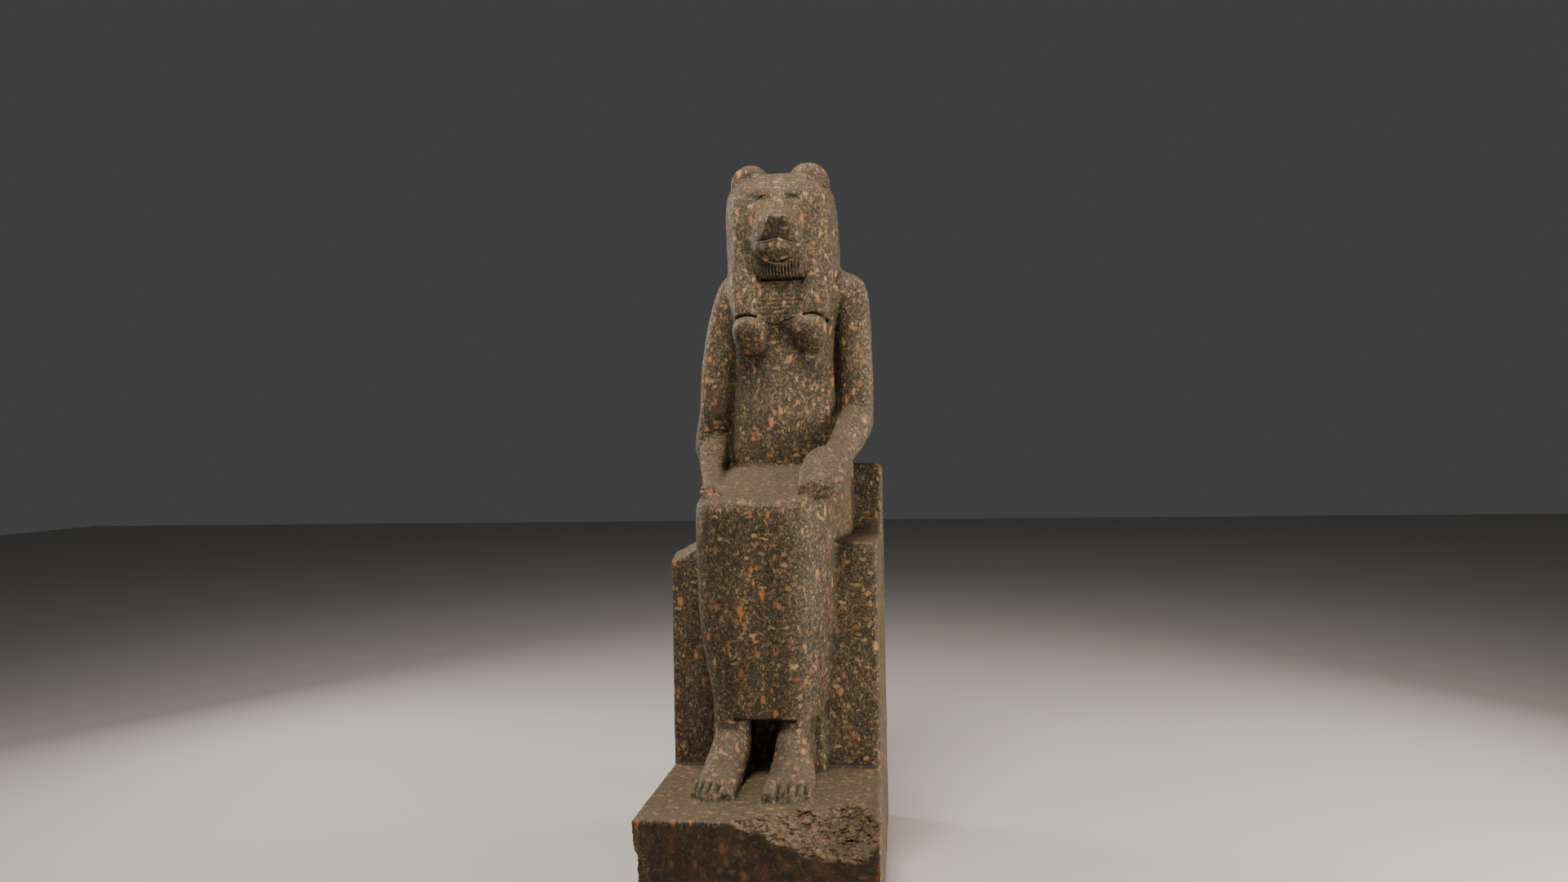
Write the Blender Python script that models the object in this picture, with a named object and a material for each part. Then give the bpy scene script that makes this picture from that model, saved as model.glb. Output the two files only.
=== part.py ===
"""Seated lion-headed goddess on a low-backed throne, carved with its foot slab from one block of stone.

The carver's frame: x from the figure's centre line, y behind the throne's front face, z above the foot
slab's top. Every form is a loft of rounded sections in that frame, and the forms are joined into one solid.
"""

import math

import bmesh
import bpy
from mathutils import Vector, noise

# Driving sizes of the block, in metres.
SLAB_H = 0.30
SLAB_FRONT = -0.45
THRONE_BACK = 0.50
BACKREST_FRONT = 0.34
SEAT_Z = 0.616
BACKREST_Z = 0.825
LEFT_X = -0.305
LEFT_REAR_X = -0.278
RIGHT_X = 0.273
RIGHT_SLAB_X = 0.290
ARRIS = 0.008
WORN_CORNER = 0.024
SHARP = math.radians(60)

# Driving heights and depths of the figure.
HEM_Z = 0.151
KNEE_Z = 0.750
LAP_Z = 0.822
KNEE_Y = -0.196
BELLY_Y = 0.120
BREAST_Z = 1.205
LAPPET_Z = 1.252
RUFF_Z = 1.363
CHIN_Z = 1.394
MOUTH_Z = 1.457
NOSE_Z = 1.522
EYE_Z = 1.594
EAR_CENTRE_Z = 1.647
CROWN_Z = 1.676
NOSE_Y = -0.012
FRINGE_X = 0.006
FACE_Y = 0.085
TURN = 0.15
ARM_Y = 0.245
PILLAR_Z = 1.46

# How fine the rounded figure is worked before it is joined to the block.
GRAIN = 0.0055
SOFTENING = 4
FACET_SHARE = 0.027

# The part's frame has its origin under the middle of the block.
CENTRE_SHIFT = Vector((
    -(LEFT_X + RIGHT_SLAB_X) / 2,
    -(SLAB_FRONT + THRONE_BACK) / 2,
    SLAB_H,
))


def smooth_rows(stations, between):
    """The stations with steps between them, on a curve that passes through each."""
    rows = []
    last = len(stations) - 1
    for i in range(last):
        before, here, there, after = (stations[min(max(k, 0), last)] for k in range(i - 1, i + 3))
        for step in range(between):
            t = step / between
            rows.append([
                0.5 * (2 * b + (c - a) * t + (2 * a - 5 * b + 4 * c - d) * t ** 2
                       + (3 * b - a - 3 * c + d) * t ** 3)
                for a, b, c, d in zip(before, here, there, after)
            ])
    rows.append(list(stations[last]))
    return rows


def power(value, exponent):
    return math.copysign(abs(value) ** exponent, value)


def section_point(row, turn):
    """The point of a rounded section at an angle, and its place along the loft."""
    along, low_x, high_x, low_v, high_v, square = row
    x = (low_x + high_x) / 2 + (high_x - low_x) / 2 * power(math.cos(turn), 2 / square)
    v = (low_v + high_v) / 2 + (high_v - low_v) / 2 * power(math.sin(turn), 2 / square)
    return along, x, v


def faced_out(bm):
    bmesh.ops.recalc_face_normals(bm, faces=bm.faces)
    if bm.calc_volume(signed=True) < 0:
        bmesh.ops.reverse_faces(bm, faces=bm.faces)
    return bm


def loft(axis, stations, sides=20, between=2):
    """A closed solid through the stations, each (along, low x, high x, low, high, squareness).

    Along Z the last extents are front and back, along Y they are bottom and top.
    """
    rows = smooth_rows(stations, between)
    spans = len(rows) - 1
    bm = bmesh.new()
    bmesh.ops.create_cone(bm, cap_ends=True, segments=sides, radius1=1, radius2=1, depth=spans)
    for step in range(1, spans):
        bmesh.ops.bisect_plane(
            bm, geom=bm.verts[:] + bm.edges[:] + bm.faces[:],
            plane_co=(0, 0, step - spans / 2), plane_no=(0, 0, 1),
        )
    for vert in bm.verts:
        row = rows[round(vert.co.z + spans / 2)]
        along, x, v = section_point(row, math.atan2(vert.co.y, vert.co.x))
        vert.co = (x, v, along) if axis == "Z" else (x, along, v)
    return faced_out(bm)


def even(along, half, low, high, square=2.4):
    """A station that is the same on both sides of the centre line."""
    return (along, -half, half, low, high, square)


def placed(along, centre, half, low, high, square=2.2):
    """A station at a distance from the centre line."""
    return (along, centre - half, centre + half, low, high, square)


def mirrored(stations):
    """The same stations on the other side of the centre line."""
    return [(along, -high_x, -low_x, *rest) for along, low_x, high_x, *rest in stations]


def ball(centre, radii, turns=14, rings=10):
    bm = bmesh.new()
    bmesh.ops.create_uvsphere(bm, u_segments=turns, v_segments=rings, radius=1)
    bmesh.ops.scale(bm, vec=radii, verts=bm.verts)
    bmesh.ops.translate(bm, vec=centre, verts=bm.verts)
    return bm


def roughened(bm, height, scale):
    """Moves each point along its normal by a seeded noise, as a broken face is rough."""
    bm.normal_update()
    moves = [
        v.normal * height * (noise.noise(v.co * scale) + 0.5 * noise.noise(v.co * scale * 2.3))
        for v in bm.verts
    ]
    for vert, move in zip(bm.verts, moves):
        vert.co += move
    return bm


def stone_block():
    """Foot slab, throne and low backrest, from their side profile."""
    profile = (
        (SLAB_FRONT, -SLAB_H), (SLAB_FRONT, 0), (0, 0), (0, SEAT_Z),
        (BACKREST_FRONT - 0.044, SEAT_Z), (BACKREST_FRONT - 0.014, SEAT_Z + 0.014),
        (BACKREST_FRONT, SEAT_Z + 0.044), (BACKREST_FRONT, BACKREST_Z),
        (THRONE_BACK, BACKREST_Z), (THRONE_BACK, -SLAB_H),
    )
    bm = bmesh.new()
    face = bm.faces.new([bm.verts.new((LEFT_X, y, z)) for y, z in profile])
    grown = bmesh.ops.extrude_face_region(bm, geom=[face])["geom"]
    far_side = [v for v in grown if isinstance(v, bmesh.types.BMVert)]
    bmesh.ops.translate(bm, vec=(RIGHT_X - LEFT_X, 0, 0), verts=far_side)
    for vert in bm.verts:
        on_left = vert.co.x < 0
        if on_left and vert.co.y > BACKREST_FRONT / 2:
            vert.co.x += (LEFT_REAR_X - LEFT_X) * vert.co.y / THRONE_BACK
        if not on_left and vert.co.y < SLAB_FRONT / 2:
            vert.co.x = RIGHT_SLAB_X
    faced_out(bm)
    corner = [e for e in bm.edges if all(v.co.x > 0 and v.co.z > BACKREST_Z - ARRIS for v in e.verts)]
    bmesh.ops.bevel(
        bm, geom=corner, offset=WORN_CORNER, segments=3, profile=0.5, affect="EDGES", material=-1
    )
    sharp = [
        e for e in bm.edges
        if e.is_convex and e.calc_face_angle() > SHARP and max(v.co.z for v in e.verts) > -SLAB_H
    ]
    bmesh.ops.bevel(bm, geom=sharp, offset=ARRIS, segments=2, profile=0.5, affect="EDGES", material=-1)
    return bm


def skirt():
    """The sheath dress from the knees to the hem, rounded away over the left shin."""
    back = 0.080
    bm = loft("Z", [
        (HEM_Z, -0.175, 0.122, -0.130, back, 2.9),
        (0.22, -0.184, 0.130, -0.136, back, 2.9),
        (0.30, -0.197, 0.138, -0.144, back, 3.0),
        (0.38, -0.208, 0.146, -0.152, back, 3.0),
        (0.45, -0.212, 0.151, -0.160, back, 3.0),
        (0.60, -0.213, 0.154, -0.179, back, 3.1),
        (0.68, -0.211, 0.156, KNEE_Y + 0.004, back, 3.2),
        (0.715, -0.209, 0.156, KNEE_Y, back, 3.2),
        (0.735, -0.205, 0.155, KNEE_Y + 0.008, back, 3.3),
        (KNEE_Z - 0.004, -0.196, 0.152, KNEE_Y + 0.022, back, 3.3),
        (KNEE_Z, -0.182, 0.144, KNEE_Y + 0.042, back, 3.3),
    ], sides=40)
    for vert in bm.verts:
        if vert.co.y < 0:
            across = (vert.co.x + 0.022) / 0.050
            down = min(1, max(0, KNEE_Z - 0.03 - vert.co.z) / 0.20)
            vert.co.y += 0.008 * down * math.exp(-across ** 2)
            vert.co.y += 0.050 * max(0, (vert.co.x - 0.030) / 0.120) ** 2
    return bm


def lap():
    """The thighs under the dress, widening to the hips and rising to the belly."""
    return loft("Y", [
        (KNEE_Y + 0.070, -0.198, 0.138, 0.64, KNEE_Z - 0.004, 4.0),
        (KNEE_Y + 0.110, -0.201, 0.148, 0.635, KNEE_Z + 0.010, 4.2),
        (-0.02, -0.202, 0.152, 0.60, LAP_Z - 0.042, 4.6),
        (0.03, -0.202, 0.157, 0.55, LAP_Z - 0.024, 4.6),
        (BELLY_Y, -0.202, 0.168, 0.53, LAP_Z, 4.6),
        (0.25, -0.202, 0.181, 0.53, LAP_Z + 0.010, 4.6),
        (0.37, -0.202, 0.190, 0.53, LAP_Z + 0.006, 4.6),
    ], sides=32)


def torso():
    back = 0.375
    return loft("Z", [
        even(LAP_Z - 0.08, 0.160, BELLY_Y + 0.014, back, 2.5),
        even(LAP_Z + 0.03, 0.162, BELLY_Y - 0.004, back, 2.5),
        even(0.95, 0.159, BELLY_Y - 0.004, back, 2.5),
        even(1.06, 0.154, BELLY_Y + 0.006, back, 2.5),
        even(BREAST_Z - 0.03, 0.152, BELLY_Y + 0.004, back, 2.6),
        even(LAPPET_Z, 0.158, BELLY_Y - 0.022, back, 2.7),
        even(1.300, 0.166, BELLY_Y - 0.019, back, 2.7),
        even(1.340, 0.176, BELLY_Y - 0.006, back - 0.004, 2.7),
        even(1.366, 0.172, BELLY_Y + 0.012, back - 0.020, 2.5),
        even(1.385, 0.150, BELLY_Y + 0.050, back - 0.060, 2.2),
    ], sides=32)


def breast(side):
    x = side * 0.0875
    return loft("Z", [
        placed(BREAST_Z - 0.056, x, 0.016, 0.118, 0.160, 2),
        placed(BREAST_Z - 0.043, x, 0.036, 0.098, 0.160, 2),
        placed(BREAST_Z - 0.020, x, 0.048, 0.078, 0.160, 2),
        placed(BREAST_Z + 0.006, x, 0.052, 0.062, 0.160, 2),
        placed(BREAST_Z + 0.026, x, 0.049, 0.059, 0.160, 2),
        placed(BREAST_Z + 0.043, x, 0.041, 0.069, 0.160, 2),
        placed(BREAST_Z + 0.055, x, 0.030, 0.088, 0.160, 2),
    ], sides=20, between=2)


def whole_arm():
    """The figure's left upper arm, from the shoulder down to the elbow."""
    front, back = ARM_Y - 0.062, ARM_Y + 0.066
    return loft("Z", [
        (1.400, 0.120, 0.180, front + 0.045, back - 0.045, 2.2),
        (1.386, 0.120, 0.212, front + 0.022, back - 0.022, 2.2),
        (1.362, 0.125, 0.238, front + 0.008, back - 0.008, 2.3),
        (1.325, 0.138, 0.250, front, back, 2.3),
        (1.250, 0.152, 0.256, front, back, 2.3),
        (1.120, 0.158, 0.259, front, back, 2.3),
        (1.000, 0.160, 0.261, front - 0.004, back, 2.3),
        (0.958, 0.162, 0.259, front - 0.008, back - 0.008, 2.3),
        (0.928, 0.168, 0.250, front - 0.010, back - 0.026, 2.2),
        (0.910, 0.186, 0.230, front, back - 0.056, 2.0),
    ], sides=20)


def forearm():
    """The left forearm, from the elbow down and in to the wrist."""
    return loft("Y", [
        placed(ARM_Y + 0.040, 0.212, 0.026, 0.940, 1.000),
        placed(ARM_Y + 0.015, 0.212, 0.046, 0.914, 1.018),
        placed(ARM_Y - 0.035, 0.209, 0.050, 0.892, 1.012),
        placed(0.130, 0.192, 0.048, 0.852, 0.962),
        placed(0.070, 0.174, 0.044, 0.824, 0.918),
        placed(0.015, 0.158, 0.041, 0.798, 0.880),
        placed(-0.020, 0.150, 0.038, 0.780, 0.850),
    ], sides=20)


def hand():
    """The back of the left hand, flat on the lap."""
    return loft("Y", [
        placed(0.040, 0.158, 0.042, 0.800, 0.886, 2.3),
        placed(0.008, 0.149, 0.055, 0.785, 0.884, 2.7),
        placed(-0.028, 0.142, 0.062, 0.765, 0.876, 3.0),
        placed(-0.060, 0.138, 0.065, 0.750, 0.854, 3.0),
        placed(-0.086, 0.136, 0.063, 0.745, 0.826, 2.6),
    ], sides=24)


def fingers():
    """The fingers as one slab, bent down from the knuckles and broken off short."""
    return roughened(loft("Y", [
        placed(-0.060, 0.137, 0.063, 0.748, 0.838, 2.8),
        placed(-0.090, 0.135, 0.065, 0.742, 0.827, 3.0),
        placed(-0.114, 0.132, 0.063, 0.740, 0.812, 3.0),
        placed(-0.132, 0.125, 0.055, 0.740, 0.797, 2.8),
        placed(-0.143, 0.118, 0.043, 0.744, 0.782, 2.5),
    ], sides=28), 0.003, 55)


def thumb():
    return loft("Y", [
        placed(-0.004, 0.106, 0.020, 0.796, 0.858),
        placed(-0.040, 0.089, 0.020, 0.780, 0.842),
        placed(-0.072, 0.082, 0.017, 0.768, 0.818),
        placed(-0.092, 0.079, 0.011, 0.766, 0.798),
    ], sides=10, between=1)


def broken_arm():
    """The figure's right arm down to the elbow, with the break across its front."""
    front, back = ARM_Y - 0.062, ARM_Y + 0.066
    return loft("Z", [
        (1.400, -0.172, -0.120, front + 0.045, back - 0.045, 2.2),
        (1.380, -0.188, -0.120, front + 0.022, back - 0.022, 2.2),
        (1.350, -0.204, -0.124, front + 0.006, back - 0.006, 2.3),
        (1.310, -0.218, -0.130, front, back, 2.3),
        (1.234, -0.238, -0.140, front, back, 2.3),
        (1.124, -0.256, -0.150, front, back, 2.3),
        (1.000, -0.264, -0.158, front + 0.004, back, 2.4),
        (0.940, -0.275, -0.166, front + 0.016, back, 2.6),
        (0.890, -0.282, -0.174, front + 0.022, back, 2.6),
        (0.862, -0.278, -0.180, front + 0.020, back - 0.006, 2.6),
        (0.835, -0.264, -0.184, front + 0.012, back - 0.020, 2.6),
        (0.800, -0.254, -0.180, front, back - 0.030, 2.6),
        (0.740, -0.246, -0.180, front, back - 0.040, 2.6),
    ], sides=20)


def broken_stump():
    """What is left of the right forearm: a ragged ridge from the elbow down to the lap."""
    return roughened(loft("Y", [
        (ARM_Y, -0.262, -0.176, 0.80, 0.950, 2.6),
        (0.170, -0.252, -0.174, 0.79, 0.886, 2.6),
        (0.120, -0.240, -0.172, 0.77, 0.846, 2.8),
        (0.050, -0.222, -0.160, 0.75, 0.812, 3.0),
        (-0.020, -0.200, -0.150, 0.73, 0.782, 3.0),
    ], sides=18), 0.006, 24)


def broken_fist():
    """The low remains of the right hand on the edge of the lap."""
    return roughened(ball((-0.171, -0.112, 0.762), (0.025, 0.034, 0.022), 16, 12), 0.010, 40)


def arm_web(side):
    """The stone left standing between an arm and the body."""
    return loft("Z", [
        placed(0.78, side * 0.160, 0.036, 0.232, 0.300, 5),
        placed(1.32, side * 0.152, 0.032, 0.232, 0.300, 5),
    ], sides=12, between=1)


def forearm_web():
    """The stone left standing between the left forearm and the thigh."""
    return loft("Y", [
        (-0.010, 0.118, 0.156, 0.70, 0.840, 5),
        (0.060, 0.130, 0.172, 0.70, 0.872, 5),
        (0.140, 0.140, 0.180, 0.70, 0.900, 5),
        (0.270, 0.145, 0.186, 0.70, 0.950, 5),
    ], sides=16)


def ankle_web():
    """The stone left standing between the ankles and the throne."""
    return loft("Z", [
        (-0.03, -0.156, 0.128, -0.046, 0.030, 12),
        (HEM_Z + 0.01, -0.158, 0.122, -0.046, 0.030, 12),
    ], sides=24, between=1)


def foot_stations(ankle_x, toe_x, ankle_half, toe_half, toe_y):
    """From the heel, inside the web, up over the instep to the ball of the foot."""
    sole = -0.03
    middle = (ankle_x + toe_x) / 2
    return [
        placed(0.010, ankle_x, ankle_half - 0.006, sole, HEM_Z + 0.03, 3.0),
        placed(-0.060, ankle_x, ankle_half, sole, HEM_Z + 0.02, 2.5),
        placed(-0.102, ankle_x, ankle_half, sole, HEM_Z - 0.005, 2.1),
        placed(-0.138, middle, (ankle_half + toe_half) / 2, sole, 0.110, 1.8),
        placed(-0.178, (middle + toe_x) / 2, toe_half - 0.001, sole, 0.075, 1.8),
        placed(toe_y + 0.085, toe_x, toe_half, sole, 0.052, 2.1),
        placed(toe_y + 0.055, toe_x, toe_half - 0.003, sole, 0.036, 2.8),
        placed(toe_y + 0.045, toe_x, toe_half - 0.012, sole, 0.018, 2.8),
    ]


def ankle(x, half):
    return loft("Z", [
        placed(-0.02, x, half + 0.003, -0.116, 0.01, 2.4),
        placed(0.09, x, half + 0.001, -0.118, 0.01, 2.3),
        placed(HEM_Z + 0.04, x, half, -0.119, 0.01, 2.3),
    ], sides=20)


def toe(x, half, tip_y, root_y, top):
    """A straight toe with a rounded end, flatter at its tip."""
    return loft("Y", [
        placed(root_y, x, half, -0.02, top + 0.010, 2.4),
        placed((root_y + tip_y) / 2, x, half, -0.02, top + 0.001, 2.4),
        placed(tip_y + 0.012, x, half, -0.02, top - 0.002, 2.4),
        placed(tip_y + 0.003, x, half * 0.85, -0.02, top - 0.008, 2.3),
        placed(tip_y, x, half * 0.5, -0.015, top - 0.014, 2.1),
    ], sides=12, between=1)


def toes(big_x, outward, tips):
    """Five toes from the big one outward, each (half width, tip)."""
    made = []
    x = big_x
    before = 0
    for index, (half, tip_y) in enumerate(tips):
        x += outward * (before + half) if index else 0
        made.append(toe(x, half - 0.0012, tip_y, -0.220, 0.036 if index == 0 else 0.030))
        before = half
    return made


def wig():
    """The mass of mane and wig that frames the face, with its flat crown."""
    back = 0.400
    return loft("Z", [
        (1.300, -0.150, 0.150, 0.190, back - 0.010, 2.6),
        (RUFF_Z, -0.166, 0.165, 0.112, back, 2.6),
        (1.440, -0.170, 0.167, 0.096, back, 2.4),
        (1.530, -0.174, 0.165, 0.090, back, 2.3),
        (1.590, -0.173, 0.159, 0.094, back - 0.006, 2.3),
        (1.630, -0.165, 0.150, 0.106, back - 0.020, 2.2),
        (1.655, -0.146, 0.132, 0.118, back - 0.040, 2.2),
        (1.668, -0.118, 0.106, 0.127, back - 0.064, 2.2),
        (CROWN_Z, -0.084, 0.076, 0.144, back - 0.096, 2.2),
    ], sides=40)


def wig_back():
    """The part of the wig that hangs behind the shoulders."""
    return loft("Z", [
        even(1.235, 0.130, 0.300, 0.402, 3.4),
        even(1.250, 0.138, 0.290, 0.410, 3.4),
        even(1.350, 0.150, 0.280, 0.412, 3.4),
        even(1.460, 0.158, 0.260, 0.404, 3.0),
    ], sides=20, between=1)


def lappet(side):
    """A front strand of the wig, lying on the chest down to the breast."""
    stations = [
        (LAPPET_Z, 0.064, 0.137, 0.080, 0.160, 3.6),
        (1.300, 0.064, 0.143, 0.081, 0.160, 3.6),
        (1.350, 0.065, 0.151, 0.086, 0.170, 3.2),
        (1.410, 0.062, 0.156, 0.095, 0.200, 2.8),
        (1.470, 0.060, 0.150, 0.106, 0.200, 2.6),
        (1.500, 0.060, 0.140, 0.116, 0.200, 2.6),
    ]
    bm = loft("Z", stations if side > 0 else mirrored(stations), sides=20)
    bmesh.ops.translate(bm, vec=(FRINGE_X, 0, 0), verts=bm.verts)
    return bm


def ruff():
    """The beard-like fringe of the mane under the chin."""
    return loft("Z", [
        placed(RUFF_Z, FRINGE_X, 0.066, 0.078, 0.160, 3.0),
        placed(RUFF_Z + 0.006, FRINGE_X, 0.072, 0.069, 0.160, 3.0),
        placed(CHIN_Z + 0.004, FRINGE_X, 0.080, 0.064, 0.160, 2.8),
        placed(CHIN_Z + 0.030, FRINGE_X, 0.090, 0.066, 0.160, 2.6),
        placed(CHIN_Z + 0.070, FRINGE_X, 0.104, 0.078, 0.160, 2.4),
    ], sides=28, between=1)


def turned(bm):
    """Draws the snout a little to the figure's left, more the further it stands out."""
    for vert in bm.verts:
        vert.co.x += TURN * max(0, FACE_Y - vert.co.y)
    return bm


def face():
    """The lioness's face between the cheeks of the mane, from chin to crown."""
    return loft("Z", [
        even(CHIN_Z + 0.010, 0.108, 0.076, 0.220, 2.1),
        even(MOUTH_Z, 0.136, 0.069, 0.220, 2.1),
        even(1.500, 0.150, 0.068, 0.220, 2.1),
        even(1.550, 0.153, 0.070, 0.220, 2.1),
        even(EYE_Z, 0.149, 0.075, 0.220, 2.1),
        even(1.618, 0.138, 0.083, 0.220, 2.1),
        even(1.640, 0.120, 0.096, 0.220, 2.1),
        even(1.658, 0.098, 0.113, 0.220, 2.1),
        even(CROWN_Z - 0.003, 0.074, 0.143, 0.220, 2.2),
    ], sides=36, between=2)


def muzzle():
    """The broad snout: nose bridge, upper lip and the blunt front that falls back under the nose."""
    return turned(loft("Z", [
        even(MOUTH_Z, 0.073, NOSE_Y + 0.036, 0.150, 2.3),
        even(MOUTH_Z + 0.012, 0.074, NOSE_Y + 0.029, 0.150, 2.2),
        even(MOUTH_Z + 0.034, 0.074, NOSE_Y + 0.015, 0.150, 2.0),
        even(NOSE_Z - 0.016, 0.071, NOSE_Y + 0.003, 0.150, 1.8),
        even(NOSE_Z - 0.004, 0.069, NOSE_Y, 0.150, 1.7),
        even(NOSE_Z + 0.006, 0.066, NOSE_Y + 0.008, 0.150, 1.7),
        even(NOSE_Z + 0.026, 0.060, NOSE_Y + 0.032, 0.150, 1.8),
        even(NOSE_Z + 0.052, 0.054, NOSE_Y + 0.060, 0.150, 2.0),
        even(NOSE_Z + 0.084, 0.044, NOSE_Y + 0.080, 0.150, 2.0),
    ], sides=32, between=2))


def jaw():
    """The rounded lower jaw, its lip as far forward as the upper one."""
    return turned(loft("Z", [
        even(CHIN_Z, 0.022, NOSE_Y + 0.066, 0.150, 2.1),
        even(CHIN_Z + 0.008, 0.038, NOSE_Y + 0.054, 0.150, 2.1),
        even(CHIN_Z + 0.023, 0.056, NOSE_Y + 0.036, 0.150, 2.2),
        even(CHIN_Z + 0.041, 0.070, NOSE_Y + 0.025, 0.150, 2.3),
        even(MOUTH_Z - 0.010, 0.074, NOSE_Y + 0.027, 0.150, 2.3),
        even(MOUTH_Z + 0.002, 0.073, NOSE_Y + 0.036, 0.150, 2.3),
    ], sides=32, between=2))


def ear(centre_x, half):
    """A round ear, a thick disc standing on the shoulder of the crown."""
    rise = 0.063
    spread = (0.55, 0.86, 1.0, 1.0, 0.90, 0.62)
    depths = (0.160, 0.166, 0.180, 0.206, 0.228, 0.246)
    return loft("Y", [
        placed(y, centre_x, half * share, EAR_CENTRE_Z - rise * share, EAR_CENTRE_Z + rise * share, 2.05)
        for y, share in zip(depths, spread)
    ], sides=28, between=1)


def eye_hollow(side):
    return ball((side * 0.050 + 0.003, 0.062, EYE_Z), (0.022, 0.017, 0.0095), 14, 10)


def ear_hollow(centre_x):
    return ball((centre_x, 0.151, EAR_CENTRE_Z + 0.022), (0.032, 0.015, 0.028), 16, 10)


def mouth_slit():
    """The line of the mouth, a thin cut that runs round the snout and rises in the middle."""
    half, columns = 0.078, 12
    bm = bmesh.new()
    bmesh.ops.create_grid(bm, x_segments=columns, y_segments=1, size=1)
    for vert in bm.verts:
        x = vert.co.x * half
        y = NOSE_Y - 0.03 if vert.co.y < 0 else NOSE_Y + 0.034 + 0.4 * max(0, abs(x) - 0.045)
        vert.co = (x, y, MOUTH_Z - 0.002 + 0.007 * math.exp(-(x / 0.014) ** 2))
    lower = bm.faces[:]
    grown = bmesh.ops.extrude_face_region(bm, geom=lower)["geom"]
    bmesh.ops.translate(bm, vec=(0, 0, 0.0045), verts=[v for v in grown if isinstance(v, bmesh.types.BMVert)])
    return turned(faced_out(bm))


def corner_break():
    """The large break on the slab's front right corner, a shallow scoop through top and front."""
    middle_y, middle_z = SLAB_FRONT - 0.142, 0.243
    reach = ((-0.150, 0.262), (-0.060, 0.281), (0.014, 0.310), (0.108, 0.339), (0.189, 0.357),
             (0.226, 0.359), (0.262, 0.335), (0.290, 0.303), (0.330, 0.280))
    bm = loft("Z", [
        (x, middle_y - r, middle_y + r, middle_z - r, middle_z + r, 2) for x, r in reach
    ], sides=84)
    for vert in bm.verts:
        vert.co = vert.co.zxy
    return roughened(faced_out(bm), 0.016, 26)


def left_corner_break():
    """The worn upright corner of the slab at its front left, deeper below."""
    return roughened(loft("Z", [
        (-SLAB_H - 0.02, -0.42, -0.254, -0.56, -0.386, 2.1),
        (-0.16, -0.42, -0.256, -0.56, -0.388, 2.1),
        (-0.09, -0.42, -0.276, -0.56, -0.404, 2.1),
        (-0.04, -0.42, -0.286, -0.56, -0.418, 2.1),
        (0.03, -0.42, -0.290, -0.56, -0.424, 2.1),
    ], sides=32), 0.008, 30)


def worn_seat_corner():
    """The rubbed top edge of the throne on its left, widest at the front."""
    return roughened(loft("Y", [
        placed(-0.060, LEFT_X - 0.015, 0.120, SEAT_Z - 0.090, SEAT_Z + 0.20, 2),
        placed(0.000, LEFT_X - 0.015, 0.120, SEAT_Z - 0.058, SEAT_Z + 0.20, 2),
        placed(0.060, LEFT_X - 0.015, 0.118, SEAT_Z - 0.034, SEAT_Z + 0.20, 2),
        placed(0.200, LEFT_X - 0.012, 0.112, SEAT_Z - 0.026, SEAT_Z + 0.20, 2),
        placed(0.330, LEFT_X, 0.104, SEAT_Z - 0.018, SEAT_Z + 0.20, 2),
    ], sides=28), 0.005, 30)


def back_pillar():
    half = 0.082
    return loft("Z", [
        even(BACKREST_Z - 0.10, half, 0.330, THRONE_BACK - 0.030, 14),
        even(PILLAR_Z, half, 0.330, THRONE_BACK - 0.030, 14),
    ], sides=20, between=1)


def figure_forms():
    """Every rounded form of the seated figure."""
    yield from (skirt(), lap(), torso(), whole_arm(), forearm(), hand(), fingers(), thumb())
    yield from (broken_arm(), broken_stump(), broken_fist(), forearm_web(), ankle_web())
    for ankle_x, toe_x, ankle_half, toe_half, toe_y in ((-0.122, -0.137, 0.055, 0.058, -0.305),
                                                       (0.045, 0.0515, 0.050, 0.0655, -0.305)):
        yield loft("Y", foot_stations(ankle_x, toe_x, ankle_half, toe_half, toe_y))
        yield ankle(ankle_x, ankle_half - 0.001)
    yield from toes(-0.100, -1, ((0.0225, -0.316), (0.0120, -0.322), (0.0095, -0.320),
                                 (0.0075, -0.312), (0.0075, -0.300)))
    yield from toes(0.006, 1, ((0.0210, -0.320), (0.0130, -0.294), (0.0115, -0.320),
                               (0.0095, -0.312), (0.0090, -0.298)))
    yield from (wig(), wig_back(), ruff(), face(), muzzle(), jaw())
    yield from (ear(-0.092, 0.057), ear(0.085, 0.060))
    for side in (-1, 1):
        yield from (breast(side), lappet(side), arm_web(side))


def all_cuts():
    """Every hollow and break that is cut from the joined forms."""
    yield from (corner_break(), left_corner_break(), worn_seat_corner(), mouth_slit())
    yield from (eye_hollow(-1), eye_hollow(1), ear_hollow(-0.090), ear_hollow(0.085))


def helper(name, bm, group):
    """A form or cut as an object that only the joins read."""
    mesh = bpy.data.meshes.new(name)
    bm.to_mesh(mesh)
    bm.free()
    obj = bpy.data.objects.new(name, mesh)
    obj.hide_render = True
    obj.display_type = "WIRE"
    obj.location = CENTRE_SHIFT
    group.objects.link(obj)
    return obj


def together(forms):
    """Overlapping closed forms as the shells of one mesh."""
    bm = bmesh.new()
    shell = bpy.data.meshes.new("shell")
    for form in forms:
        form.to_mesh(shell)
        form.free()
        bm.from_mesh(shell)
    return bm


def worked_smooth(figure):
    """Runs the overlapping shells into one skin, softens its creases and leaves broad facets."""
    skin = figure.modifiers.new("one_skin", "REMESH")
    skin.mode = "VOXEL"
    skin.voxel_size = GRAIN
    soft = figure.modifiers.new("soft_creases", "SMOOTH")
    soft.factor = 0.5
    soft.iterations = SOFTENING
    facets = figure.modifiers.new("facets", "DECIMATE")
    facets.ratio = FACET_SHARE


def join(target, group, operation, label):
    modifier = target.modifiers.new(label, "BOOLEAN")
    modifier.operation = operation
    modifier.operand_type = "COLLECTION"
    modifier.collection = group
    modifier.solver = "EXACT"


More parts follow.
